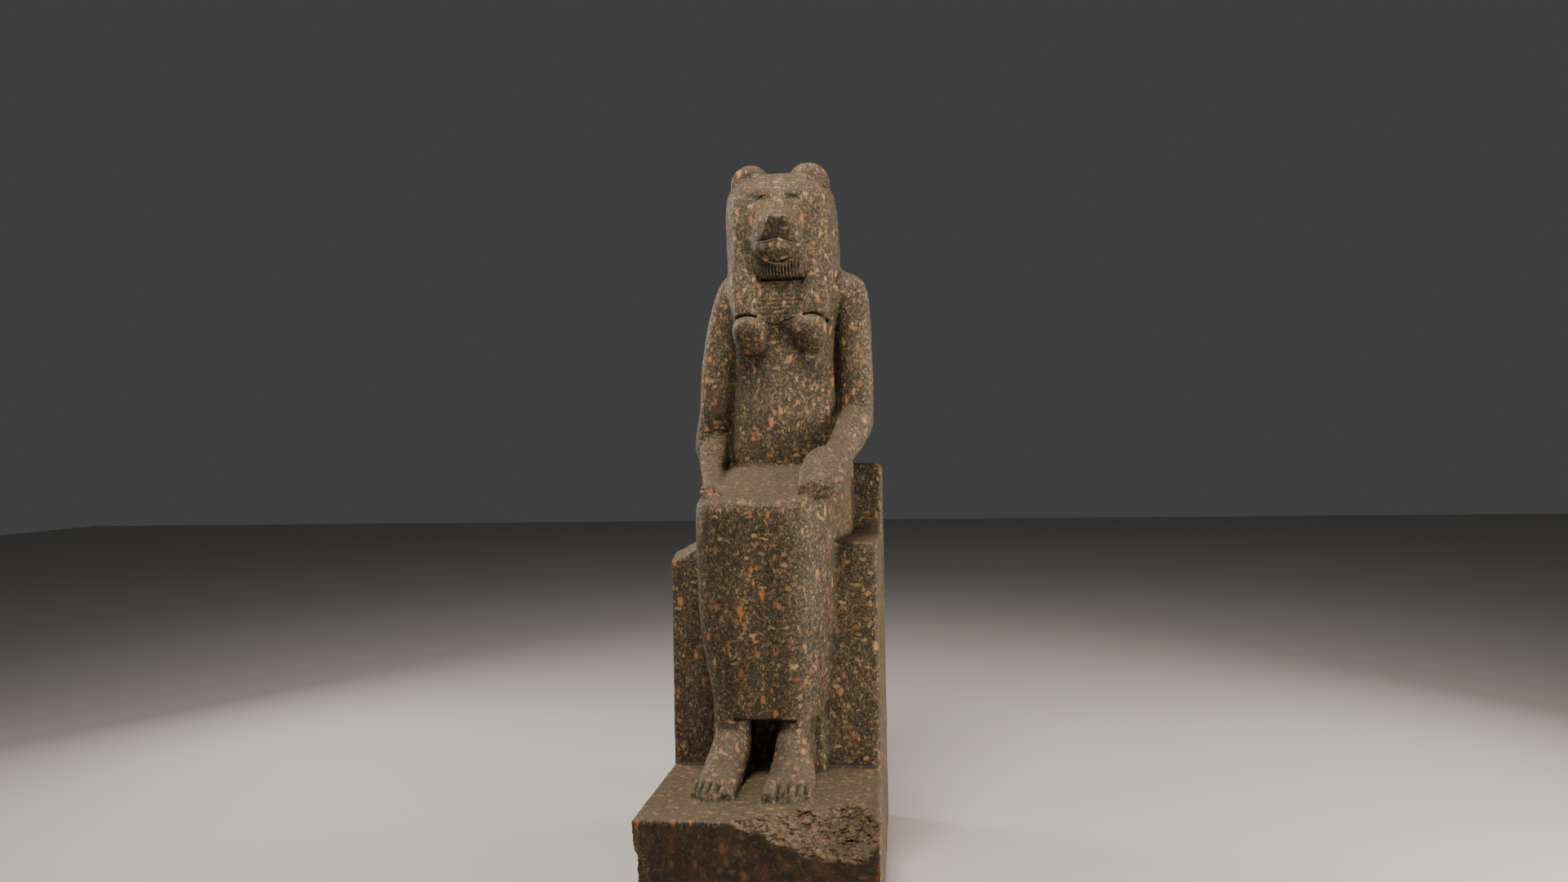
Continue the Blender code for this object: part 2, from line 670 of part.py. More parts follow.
def stone():
    """Dark granodiorite with pink and ochre feldspar."""
    material = bpy.data.materials.new("granodiorite")
    material.use_nodes = True
    shader = material.node_tree.nodes["Principled BSDF"]
    shader.inputs["Base Color"].default_value = (0.115, 0.095, 0.075, 1)
    shader.inputs["Roughness"].default_value = 0.62
    shader.inputs["Metallic"].default_value = 0.0
    return material


def main():
    for obj in list(bpy.data.objects):
        bpy.data.objects.remove(obj)
    scene = bpy.context.scene
    joined, cuts = (bpy.data.collections.new(name) for name in ("joined_forms", "cut_forms"))
    scene.collection.children.link(joined)
    scene.collection.children.link(cuts)
    worked_smooth(helper("figure", together(figure_forms()), joined))
    helper("pillar", back_pillar(), joined)
    for index, bm in enumerate(all_cuts()):
        helper(f"cut_{index:02d}", bm, cuts)
    mesh = bpy.data.meshes.new("statue")
    block = stone_block()
    block.to_mesh(mesh)
    block.free()
    statue = bpy.data.objects.new("statue", mesh)
    statue.location = CENTRE_SHIFT
    statue.data.materials.append(stone())
    scene.collection.objects.link(statue)
    join(statue, joined, "UNION", "join_forms")
    join(statue, cuts, "DIFFERENCE", "cut_breaks")


main()
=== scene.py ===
"""Dressed model of a seated lion-headed goddess, carved with her throne from one block of granodiorite.

Sizes are in metres in the carver's frame: x from the figure's centre line, y behind the throne's front
face, z above the foot slab's top. The rough forms are joined, worked smooth and carved in that frame, and
the last step moves the finished stone into the row frame.
"""

from __future__ import annotations

import itertools
import logging
import math
from collections.abc import Iterable, Iterator, Sequence
from dataclasses import dataclass, field
from enum import Enum

import bmesh
import bpy
import numpy as np
from mathutils import Matrix, Vector, noise
from mathutils.bvhtree import BVHTree


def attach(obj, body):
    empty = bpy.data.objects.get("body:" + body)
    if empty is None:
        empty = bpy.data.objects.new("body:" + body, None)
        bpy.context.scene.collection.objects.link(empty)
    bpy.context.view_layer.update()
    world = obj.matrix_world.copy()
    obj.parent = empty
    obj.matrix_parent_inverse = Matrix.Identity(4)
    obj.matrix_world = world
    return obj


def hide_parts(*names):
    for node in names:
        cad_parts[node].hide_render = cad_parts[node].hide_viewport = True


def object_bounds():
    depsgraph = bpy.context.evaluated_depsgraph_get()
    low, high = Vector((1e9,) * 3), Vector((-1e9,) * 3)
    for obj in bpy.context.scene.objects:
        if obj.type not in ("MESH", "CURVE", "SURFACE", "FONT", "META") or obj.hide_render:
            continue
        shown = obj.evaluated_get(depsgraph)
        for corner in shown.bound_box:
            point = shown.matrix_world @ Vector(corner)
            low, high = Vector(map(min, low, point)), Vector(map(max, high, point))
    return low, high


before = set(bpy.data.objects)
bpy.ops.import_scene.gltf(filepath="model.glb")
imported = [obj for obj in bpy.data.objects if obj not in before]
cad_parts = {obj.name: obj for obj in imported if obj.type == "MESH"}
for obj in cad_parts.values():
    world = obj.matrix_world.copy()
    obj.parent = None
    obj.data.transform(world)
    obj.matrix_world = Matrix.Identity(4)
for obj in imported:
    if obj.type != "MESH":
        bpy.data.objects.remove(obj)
CAD_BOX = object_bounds()

LOG = logging.getLogger("statue")

Station = tuple[float, float, float, float, float, float]
Spot = tuple[float, float]
Place = tuple[float, float, float]
Colour = tuple[float, float, float, float]
Form = bmesh.types.BMesh
Socket = bpy.types.NodeSocket
Value = float | tuple[float, ...] | bpy.types.NodeSocket


class Along(Enum):
    """The direction in which a loft runs."""

    UP = "up"
    BACK = "back"
    ACROSS = "across"


class Side(Enum):
    """A side of the figure, by the sign of its x."""

    HER_RIGHT = -1
    HER_LEFT = 1


# ---------------------------------------------------------------- rough forms


def smooth_rows(stations: Sequence[Station], between: int) -> list[list[float]]:
    """Puts steps between stations, on a curve that passes through each.

    Args:
        stations: the sections of a loft, in order.
        between: how many rows each gap becomes.

    Returns:
        The rows, from the first station to the last.
    """
    rows = []
    last = len(stations) - 1
    for i in range(last):
        before, here, there, after = (stations[min(max(k, 0), last)] for k in range(i - 1, i + 3))
        for step in range(between):
            t = step / between
            rows.append([
                0.5 * (2 * b + (c - a) * t + (2 * a - 5 * b + 4 * c - d) * t ** 2
                       + (3 * b - a - 3 * c + d) * t ** 3)
                for a, b, c, d in zip(before, here, there, after)
            ])
    rows.append(list(stations[last]))
    return rows


def power(value: float, exponent: float) -> float:
    """Raises the size of a number to a power and keeps its sign."""
    return math.copysign(abs(value) ** exponent, value)


def faced_out(bm: Form) -> Form:
    """Turns every face of a closed form outwards.

    Args:
        bm: the form to change.

    Returns:
        The same form.
    """
    bmesh.ops.recalc_face_normals(bm, faces=bm.faces)
    if bm.calc_volume(signed=True) < 0:
        bmesh.ops.reverse_faces(bm, faces=bm.faces)
    return bm


def loft(along: Along, stations: Sequence[Station], sides: int = 56, between: int = 6) -> Form:
    """Makes a closed form through rounded sections.

    Args:
        along: UP puts the stations at heights and their last extents are front and back; BACK puts them
            at depths and their last extents are bottom and top; ACROSS puts them at widths and their
            extents are front and back, bottom and top.
        stations: each (along, low x, high x, low, high, squareness).
        sides: points round each section.
        between: rows between two stations.

    Returns:
        The form, with its faces outwards.
    """
    rows = smooth_rows(stations, between)
    spans = len(rows) - 1
    bm = bmesh.new()
    bmesh.ops.create_cone(bm, cap_ends=True, segments=sides, radius1=1, radius2=1, depth=spans)
    upright = [e for e in bm.edges if abs(e.verts[0].co.z - e.verts[1].co.z) > spans / 2]
    bmesh.ops.subdivide_edges(bm, edges=upright, cuts=spans - 1)
    for vert in bm.verts:
        place, low_x, high_x, low_v, high_v, square = rows[round(vert.co.z + spans / 2)]
        turn = math.atan2(vert.co.y, vert.co.x)
        x = (low_x + high_x) / 2 + (high_x - low_x) / 2 * power(math.cos(turn), 2 / square)
        v = (low_v + high_v) / 2 + (high_v - low_v) / 2 * power(math.sin(turn), 2 / square)
        vert.co = {Along.UP: (x, v, place), Along.BACK: (x, place, v), Along.ACROSS: (place, x, v)}[along]
    return faced_out(bm)


def even(along: float, half: float, low: float, high: float, square: float = 2.4) -> Station:
    """Gives a station that is the same on both sides of the centre line."""
    return (along, -half, half, low, high, square)


def placed(
    along: float, centre: float, half: float, low: float, high: float, square: float = 2.2
) -> Station:
    """Gives a station at a distance from the centre line."""
    return (along, centre - half, centre + half, low, high, square)


def mirrored(stations: Iterable[Station]) -> list[Station]:
    """Gives the same stations on the other side of the centre line."""
    return [(along, -high, -low, *rest) for along, low, high, *rest in stations]


def ball(centre: Place, radii: Place) -> Form:
    """Makes a rounded lump.

    Args:
        centre: its middle.
        radii: its half sizes.

    Returns:
        The lump.
    """
    bm = bmesh.new()
    bmesh.ops.create_uvsphere(bm, u_segments=40, v_segments=28, radius=1)
    bmesh.ops.scale(bm, vec=radii, verts=bm.verts)
    bmesh.ops.translate(bm, vec=centre, verts=bm.verts)
    return bm


def roughened(bm: Form, height: float, scale: float) -> Form:
    """Moves each point along its normal by a seeded noise, as a broken face is rough.

    Args:
        bm: the form to change.
        height: the size of the moves.
        scale: how close together the bumps are, per metre.

    Returns:
        The same form.
    """
    bm.normal_update()
    moves = [
        v.normal * height * (noise.noise(v.co * scale) + 0.5 * noise.noise(v.co * scale * 2.3))
        for v in bm.verts
    ]
    for vert, move in zip(bm.verts, moves):
        vert.co += move
    return bm


def mesh_of(name: str, forms: Iterable[Form]) -> bpy.types.Mesh:
    """Puts forms together as the shells of one mesh.

    Args:
        name: the mesh's name.
        forms: closed forms, which may overlap.

    Returns:
        The mesh. The forms are used up.
    """
    whole = bmesh.new()
    shell = bpy.data.meshes.new("shell")
    for form in forms:
        form.to_mesh(shell)
        form.free()
        whole.from_mesh(shell)
    mesh = bpy.data.meshes.new(name)
    whole.to_mesh(mesh)
    whole.free()
    bpy.data.meshes.remove(shell)
    return mesh


def worked(mesh: bpy.types.Mesh, kind: str, **settings: object) -> bpy.types.Mesh:
    """Runs one modifier on a mesh.

    Args:
        mesh: the mesh to work on, which is used up.
        kind: the modifier's type.
        **settings: the modifier's settings.

    Returns:
        The mesh that comes out.
    """
    bench = bpy.data.objects.new("bench", mesh)
    bpy.context.scene.collection.objects.link(bench)
    modifier = bench.modifiers.new(kind.lower(), kind)
    for name, value in settings.items():
        setattr(modifier, name, value)
    graph = bpy.context.evaluated_depsgraph_get()
    made = bpy.data.meshes.new_from_object(
        bench.evaluated_get(graph), preserve_all_data_layers=True, depsgraph=graph
    )
    bpy.data.objects.remove(bench)
    bpy.data.meshes.remove(mesh)
    return made


def triangle_count(mesh: bpy.types.Mesh) -> int:
    """Counts the triangles that a mesh's faces make."""
    return sum(len(p.vertices) - 2 for p in mesh.polygons)


# ---------------------------------------------------------------- the surface and its tools


def ramp(low: float, high: float, value: np.ndarray) -> np.ndarray:
    """Rises smoothly from 0 at low to 1 at high."""
    t = np.clip((value - low) / (high - low), 0, 1)
    return t * t * (3 - 2 * t)


def bell(distance: np.ndarray, width: float) -> np.ndarray:
    """Falls from 1 at no distance to almost nothing at twice the width."""
    return np.exp(-(distance / width) ** 2)


@dataclass(frozen=True)
class LatticeNoise:
    """Smooth seeded noise between -1 and 1, with knots a set distance apart."""

    size: float
    seed: int
    knots: int = 32

    def at(self, points: np.ndarray) -> np.ndarray:
        """Gives the noise at points.

        Args:
            points: rows of x, y, z.

        Returns:
            One value for each row.
        """
        table = np.random.default_rng(self.seed).uniform(-1, 1, (self.knots,) * 3)
        place = points / self.size
        cell = np.floor(place).astype(int)
        share = place - cell
        share = share * share * (3 - 2 * share)
        total = np.zeros(len(points))
        for corner in itertools.product((0, 1), repeat=3):
            index = (cell + corner) % self.knots
            weight = np.prod(np.where(corner, share, 1 - share), axis=1)
            total += weight * table[index[:, 0], index[:, 1], index[:, 2]]
        return total


@dataclass(frozen=True)
class Facets:
    """Flat chips at odd tilts, seeded, as stone breaks."""

    size: float
    seed: int
    lean: float = 0.0
    knots: int = 24

    def at(self, points: np.ndarray) -> np.ndarray:
        """Gives the height of the chips at points.

        Args:
            points: rows of x, y, z.

        Returns:
            One value for each row, mostly between -1 and 1.
        """
        dice = np.random.default_rng(self.seed)
        lattice = (self.knots,) * 3
        middles = dice.uniform(0.1, 0.9, (*lattice, 3))
        tilts = dice.normal(0, 1, (*lattice, 3)) - (0, 0, self.lean)
        lifts = dice.uniform(-0.4, 0.4, lattice)
        place = points / self.size
        cell = np.floor(place).astype(int)
        nearest = np.full(len(points), np.inf)
        height = np.zeros(len(points))
        for step in itertools.product((-1, 0, 1), repeat=3):
            index = tuple(((cell + step) % self.knots).T)
            away = place - cell - step - middles[index]
            gap = (away ** 2).sum(axis=1)
            closer = gap < nearest
            nearest[closer] = gap[closer]
            height[closer] = (0.5 * (away * tilts[index]).sum(axis=1) + lifts[index])[closer]
        return height


def chipped(points: np.ndarray, seed: int, coarse: float, fine: float) -> np.ndarray:
    """Gives the height of a broken face: ledges that run level, chips on them and grit.

    Args:
        points: rows of x, y, z.
        seed: which break it is.
        coarse: how far the ledges go up and down.
        fine: how far the chips do.

    Returns:
        One height for each row.
    """
    warp = np.stack([LatticeNoise(0.018, seed + k).at(points) for k in range(3)], axis=1)
    spots = points + 0.004 * warp
    ledges = Facets(0.024, seed + 3, 0.9).at(spots * (1.0, 1.0, 2.3))
    chips = Facets(0.0105, seed + 4, 0.6).at(spots * (1.0, 1.0, 1.7))
    grit = LatticeNoise(0.0045, seed + 5).at(points)
    swell = LatticeNoise(0.050, seed + 6).at(points)
    return coarse * (0.75 * ledges + 0.6 * swell) + fine * (chips + 0.35 * grit)


def path_distance(spots: np.ndarray, path: Sequence[Spot]) -> tuple[np.ndarray, np.ndarray]:
    """Measures how far spots are from a path of straight runs.

    Args:
        spots: rows of x, z.
        path: the path's corners.

    Returns:
        The distance of each spot, and how far along the path its nearest point is, from 0 to 1.
    """
    corners = np.array(path)
    runs = np.diff(corners, axis=0)
    lengths = np.hypot(runs[:, 0], runs[:, 1])
    starts = np.concatenate([[0], np.cumsum(lengths)[:-1]])
    best = np.full(len(spots), np.inf)
    share = np.zeros(len(spots))
    for corner, run, length, start in zip(corners, runs, lengths, starts):
        t = np.clip((spots - corner) @ run / length ** 2, 0, 1)
        gap = np.hypot(*(spots - corner - t[:, None] * run).T)
        closer = gap < best
        best[closer] = gap[closer]
        share[closer] = (start + t[closer] * length) / lengths.sum()
    return best, share


def lifted(path: Iterable[Spot], rise: float) -> tuple[Spot, ...]:
    """Gives the same path further up, or further down where the rise is below 0."""
    return tuple((x, z + rise) for x, z in path)


@dataclass(frozen=True)
class Line:
    """A line that the carver draws on the front: cut in where depth is above 0, raised where below.

    It reaches stone up to the depth that behind gives, and fades out over a share of its length at each end.
    """

    path: tuple[Spot, ...]
    width: float
    depth: float
    behind: float = 0.30
    fade: float = 0.12


@dataclass(frozen=True)
class Zone:
    """A box of stone with soft sides, from its low to its high corner."""

    low: Place
    high: Place
    soft: float = 0.02

    def share(self, points: np.ndarray) -> np.ndarray:
        """Gives 1 for points inside the zone, falling to 0 over its soft sides.

        Args:
            points: rows of x, y, z.

        Returns:
            One value for each row.
        """
        total = np.ones(len(points))
        for low, high, value in zip(self.low, self.high, points.T):
            total *= ramp(low - self.soft, low, value)
            total *= 1 - ramp(high, high + self.soft, value)
        return total


class Skin:
    """The statue's one surface, held as arrays that the carving moves.

    A line is drawn where the normal's y is less than SIDEWAYS, and one as deep as STRAIGHT_CUT goes straight
    back instead of along the normals.
    """

    SIDEWAYS = 0.1
    STRAIGHT_CUT = 0.006

    def __init__(self, mesh: bpy.types.Mesh) -> None:
        """Reads the points and edges of a mesh.

        Args:
            mesh: the mesh that is carved.
        """
        self.mesh = mesh
        self.points = self.read(mesh.vertices, "co", 3)
        self.edges = np.empty(len(mesh.edges) * 2, np.int32)
        mesh.edges.foreach_get("vertices", self.edges)
        self.edges = self.edges.reshape(-1, 2)
        self.normals = np.zeros_like(self.points)
        self.settle()

    @staticmethod
    def read(items: bpy.types.bpy_prop_collection, name: str, width: int) -> np.ndarray:
        """Reads one property of many items.

        Args:
            items: vertices, or another collection of a mesh.
            name: the property.
            width: how many numbers it has.

        Returns:
            A row of numbers for each item.
        """
        flat = np.empty(len(items) * width, np.float32)
        items.foreach_get(name, flat)
        return flat.reshape(-1, width).astype(float)

    def settle(self) -> None:
        """Writes the points back and reads the normals again."""
        self.mesh.vertices.foreach_set("co", self.points.astype(np.float32).ravel())
        self.mesh.update()
        self.normals = self.read(self.mesh.vertex_normals, "vector", 3)

    def soften(self, weight: np.ndarray, rounds: int) -> None:
        """Draws points towards the middle of their neighbours.

        Args:
            weight: how much each point follows, from 0 to 1.
            rounds: how many times.
        """
        count = len(self.points)
        live = self.edges[(weight[self.edges] > 0).any(axis=1)]
        ends = np.concatenate([live[:, 0], live[:, 1]])
        others = np.concatenate([live[:, 1], live[:, 0]])
        near = np.maximum(np.bincount(ends, minlength=count), 1)
        pull = 0.5 * weight[:, None]
        for _ in range(rounds):
            mean = np.stack(
                [np.bincount(ends, self.points[others, axis], count) for axis in range(3)], axis=1
            ) / near[:, None]
            self.points += pull * (mean - self.points) * (weight[:, None] > 0)

    def inside(self, low: Place, high: Place) -> np.ndarray:
        """Gives the indices of the points in a box."""
        held = np.all((self.points >= low) & (self.points <= high), axis=1)
        return np.nonzero(held)[0]

    def facing(self, gain: float, less: float = 0.0) -> np.ndarray:
        """Says how far each point faces the front, from 0 to 1."""
        return np.clip(-self.normals[:, 1] * gain - less, 0, 1)

    def push(self, which: np.ndarray, amount: np.ndarray) -> None:
        """Moves points out along their normals, or in where the amount is below 0."""
        self.points[which] += self.normals[which] * amount[:, None]

    def draw(self, *lines: Line) -> None:
        """Cuts or raises lines on the surfaces that face the front, the deep ones straight back.

        Args:
            *lines: the lines, each on its own path of x and z.
        """
        for line in lines:
            spots = np.array(line.path)
            reach = 3 * line.width
            low = (spots[:, 0].min() - reach, -math.inf, spots[:, 1].min() - reach)
            high = (spots[:, 0].max() + reach, line.behind, spots[:, 1].max() + reach)
            near = self.inside(low, high)
            near = near[self.normals[near, 1] < self.SIDEWAYS]
            distance, share = path_distance(self.points[near][:, [0, 2]], line.path)
            ends = ramp(0, line.fade, share) * (1 - ramp(1 - line.fade, 1, share))
            amount = line.depth * bell(distance, line.width) * ends
            deep = min(1.0, abs(line.depth) / self.STRAIGHT_CUT)
            way = -(1 - deep) * self.normals[near] + deep * np.array((0.0, 1.0, 0.0))
            self.points[near] += way * amount[:, None]

    def dent(self, centre: Place, radii: Place, depth: float) -> None:
        """Presses a soft hollow into the stone, or swells it where the depth is below 0.

        Args:
            centre: the middle of the hollow.
            radii: its half sizes.
            depth: how far the middle goes in.
        """
        reach = 2.2 * np.array(radii)
        near = self.inside(tuple(centre - reach), tuple(centre + reach))
        gap = np.sqrt((((self.points[near] - centre) / radii) ** 2).sum(axis=1))
        self.push(near, -depth * bell(gap, 1.0))


# ---------------------------------------------------------------- the block


@dataclass
class Block:
    """Foot slab, throne, low backrest and back pillar, with the breaks on their edges."""

    slab_height: float = 0.30
    slab_front: float = -0.45
    throne_back: float = 0.50
    backrest_front: float = 0.34
    seat: float = 0.616
    backrest: float = 0.825
    left: float = -0.305
    left_rear: float = -0.278
    right: float = 0.273
    slab_right: float = 0.290
    arris: float = 0.008
    worn_corner: float = 0.024
    pillar_top: float = 1.46
    pillar_half: float = 0.082
    ledges: float = 0.0050
    chips: float = 0.0017
    break_reach: tuple[Spot, ...] = (
        (-0.150, 0.262), (-0.060, 0.281), (0.014, 0.310), (0.108, 0.339), (0.189, 0.357),
        (0.226, 0.359), (0.262, 0.335), (0.290, 0.303), (0.330, 0.280),
    )

    def shift(self) -> Vector:
        """Gives the move from the carver's frame to the row frame."""
        return Vector((
            -(self.left + self.slab_right) / 2,
            -(self.slab_front + self.throne_back) / 2,
            self.slab_height,
        ))

    def squared(self) -> Form:
        """Makes slab, throne and backrest from their side profile.

        Returns:
            The block before anything broke off.
        """
        profile = (
            (self.slab_front, -self.slab_height), (self.slab_front, 0), (0, 0), (0, self.seat),
            (self.backrest_front - 0.044, self.seat), (self.backrest_front - 0.014, self.seat + 0.014),
            (self.backrest_front, self.seat + 0.044), (self.backrest_front, self.backrest),
            (self.throne_back, self.backrest), (self.throne_back, -self.slab_height),
        )
        bm = bmesh.new()
        face = bm.faces.new([bm.verts.new((self.left, y, z)) for y, z in profile])
        grown = bmesh.ops.extrude_face_region(bm, geom=[face])["geom"]
        far_side = [v for v in grown if isinstance(v, bmesh.types.BMVert)]
        bmesh.ops.translate(bm, vec=(self.right - self.left, 0, 0), verts=far_side)
        for vert in bm.verts:
            on_left = vert.co.x < 0
            if on_left and vert.co.y > self.backrest_front / 2:
                vert.co.x += (self.left_rear - self.left) * vert.co.y / self.throne_back
            if not on_left and vert.co.y < self.slab_front / 2:
                vert.co.x = self.slab_right
        faced_out(bm)
        top = self.backrest - self.arris
        corner = [e for e in bm.edges if all(v.co.x > 0 and v.co.z > top for v in e.verts)]
        bmesh.ops.bevel(
            bm, geom=corner, offset=self.worn_corner, segments=5, profile=0.5, affect="EDGES", material=-1
        )
        sharp = [
            e for e in bm.edges if e.is_convex and e.calc_face_angle() > math.radians(60)
            and max(v.co.z for v in e.verts) > -self.slab_height
        ]
        bmesh.ops.bevel(
            bm, geom=sharp, offset=self.arris, segments=3, profile=0.5, affect="EDGES", material=-1
        )
        return bm

    def corner_break(self) -> Form:
        """Makes the scoop that broke off the slab's front corner.

        Returns:
            The scoop.
        """
        y, z = self.slab_front - 0.142, 0.243
        scoop = [(x, y - r, y + r, z - r, z + r, 2) for x, r in self.break_reach]
        return roughened(loft(Along.ACROSS, scoop, sides=168, between=5), 0.016, 26)

    def left_corner_break(self) -> Form:
        """Makes the worn upright corner at the slab's other front edge, deeper below.

        Returns:
            What wore away.
        """
        reach = (
            (-self.slab_height - 0.02, -0.254, -0.386), (-0.16, -0.256, -0.388), (-0.09, -0.276, -0.404),
            (-0.04, -0.286, -0.418), (0.03, -0.290, -0.424),
        )
        worn = [(z, -0.42, x, -0.56, y, 2.1) for z, x, y in reach]
        return roughened(loft(Along.UP, worn, sides=72), 0.008, 30)

    def worn_seat_corner(self) -> Form:
        """Makes the rub along the throne's top edge, widest at the front."""
        return roughened(loft(Along.BACK, [
            placed(y, self.left - out, half, self.seat - deep, self.seat + 0.20, 2)
            for y, out, half, deep in (
                (-0.060, 0.015, 0.120, 0.090), (0.000, 0.015, 0.120, 0.058), (0.060, 0.015, 0.118, 0.034),
                (0.200, 0.012, 0.112, 0.026), (0.330, 0.000, 0.104, 0.018),
            )
        ]), 0.005, 30)

    def pillar(self) -> Form:
        """Makes the pillar behind the figure's back."""
        return loft(Along.UP, [
            even(z, self.pillar_half, 0.330, self.throne_back - 0.030, 14)
            for z in (self.backrest - 0.10, self.pillar_top)
        ], between=1)

    def breaks(self) -> Iterator[Form]:
        """Makes every break of the block."""
        yield from (self.corner_break(), self.left_corner_break(), self.worn_seat_corner())

    def broken(self) -> bpy.types.Mesh:
        """Cuts the breaks out of the block.

        Returns:
            The block with its breaks.
        """
        cutter = bpy.data.objects.new("cutter", mesh_of("cutter", self.breaks()))
        bpy.context.scene.collection.objects.link(cutter)
        cut = worked(
            mesh_of("block", [self.squared()]), "BOOLEAN",
            operation="DIFFERENCE", object=cutter, solver="EXACT", use_self=True,
        )
        cutter_mesh = cutter.data
        bpy.data.objects.remove(cutter)
        bpy.data.meshes.remove(cutter_mesh)
        return cut

    def break_share(self, points: np.ndarray) -> np.ndarray:
        """Says how far points lie on the broken corners of the slab.

        Args:
            points: rows of x, y, z.

        Returns:
            1 on a break, 0 away from it, for each row.
        """
        margin, touching, fade = 0.01, 0.003, 0.005
        above_floor = points[:, 2] > -self.slab_height + 0.002
        share = np.zeros(len(points))
        for bm in (self.corner_break(), self.left_corner_break()):
            tree = BVHTree.FromBMesh(bm)
            corners = np.array([v.co for v in bm.verts])
            held = np.all((points > corners.min(0) - margin) & (points < corners.max(0) + margin), axis=1)
            for index in np.nonzero(held & above_floor)[0]:
                gap = tree.find_nearest(points[index])[3]
                share[index] = max(share[index], 1 - min(1, max(0, gap - touching) / fade))
            bm.free()
        return share

    def carve(self, skin: Skin, broken: np.ndarray) -> None:
        """Roughens the breaks, and rounds the upper end of the slab's worn corner.

        Args:
            skin: the statue's surface.
            broken: how far each point lies on a break.
        """
        which = np.nonzero(broken > 0.01)[0]
        height = chipped(skin.points[which], 11, self.ledges, self.chips)
        skin.push(which, broken[which] * (height - 0.001))
        corner = np.array((self.left + 0.005, self.slab_front + 0.010, -0.004))
        worn = np.exp(-(((skin.points - corner) / (0.030, 0.060, 0.030)) ** 2).sum(axis=1))
        skin.soften(np.clip(1.3 * worn, 0, 1), 50)


# ---------------------------------------------------------------- the figure


@dataclass
class Dress:
    """The sheath dress over legs and lap.

    The hollow between the shins and the rounding of her left shin are given by their x, width and depth.
    """

    hem: float = 0.151
    knee: float = 0.750
    lap_top: float = 0.822
    knee_front: float = -0.196
    belly: float = 0.120
    back: float = 0.080
    hollow: Place = (-0.022, 0.050, 0.008)
    rounding: Place = (0.030, 0.120, 0.050)

    def skirt(self) -> Form:
        """Makes the dress from the knees to the hem, rounded away over her left shin.

        Returns:
            The skirt.
        """
        front = self.knee_front
        hollow_x, hollow_width, hollow_depth = self.hollow
        round_x, round_width, round_depth = self.rounding
        bm = loft(Along.UP, [(z, left, right, fore, self.back, square) for z, left, right, fore, square in (
            (self.hem, -0.175, 0.122, -0.130, 2.9), (0.22, -0.184, 0.130, -0.136, 2.9),
            (0.30, -0.197, 0.138, -0.144, 3.0), (0.38, -0.208, 0.146, -0.152, 3.0),
            (0.45, -0.212, 0.151, -0.160, 3.0), (0.60, -0.213, 0.154, -0.179, 3.1),
            (0.68, -0.211, 0.156, front + 0.004, 3.2), (0.715, -0.209, 0.156, front, 3.2),
            (0.735, -0.205, 0.155, front + 0.008, 3.3),
            (self.knee - 0.004, -0.196, 0.152, front + 0.022, 3.3),
            (self.knee, -0.182, 0.144, front + 0.042, 3.3),
        )], sides=96)
        for vert in bm.verts:
            if vert.co.y < 0:
                across = (vert.co.x - hollow_x) / hollow_width
                down = min(1, max(0, self.knee - 0.03 - vert.co.z) / 0.20)
                vert.co.y += hollow_depth * down * math.exp(-across ** 2)
                vert.co.y += round_depth * max(0, (vert.co.x - round_x) / round_width) ** 2
        return bm

    def lap(self) -> Form:
        """Makes the thighs under the dress, widening to the hips and rising to the belly."""
        return loft(Along.BACK, [
            (self.knee_front + 0.070, -0.198, 0.138, 0.64, self.knee - 0.004, 4.0),
            (self.knee_front + 0.110, -0.201, 0.148, 0.635, self.knee + 0.010, 4.2),
            (-0.02, -0.202, 0.152, 0.60, self.lap_top - 0.042, 4.6),
            (0.03, -0.202, 0.157, 0.55, self.lap_top - 0.024, 4.6),
            (self.belly, -0.202, 0.168, 0.53, self.lap_top, 4.6),
            (0.25, -0.202, 0.181, 0.53, self.lap_top + 0.010, 4.6),
            (0.37, -0.202, 0.190, 0.53, self.lap_top + 0.006, 4.6),
        ], sides=80)

    def forms(self) -> Iterator[Form]:
        """Makes skirt and lap."""
        yield from (self.skirt(), self.lap())

    def carve(self, skin: Skin) -> None:
        """Cuts the crease under the hem where it crosses between the ankles."""
        z = self.hem + 0.001
        skin.draw(Line(((-0.124, z), (-0.03, z - 0.001), (0.064, z - 0.001)), 0.004, 0.007, behind=0.0))


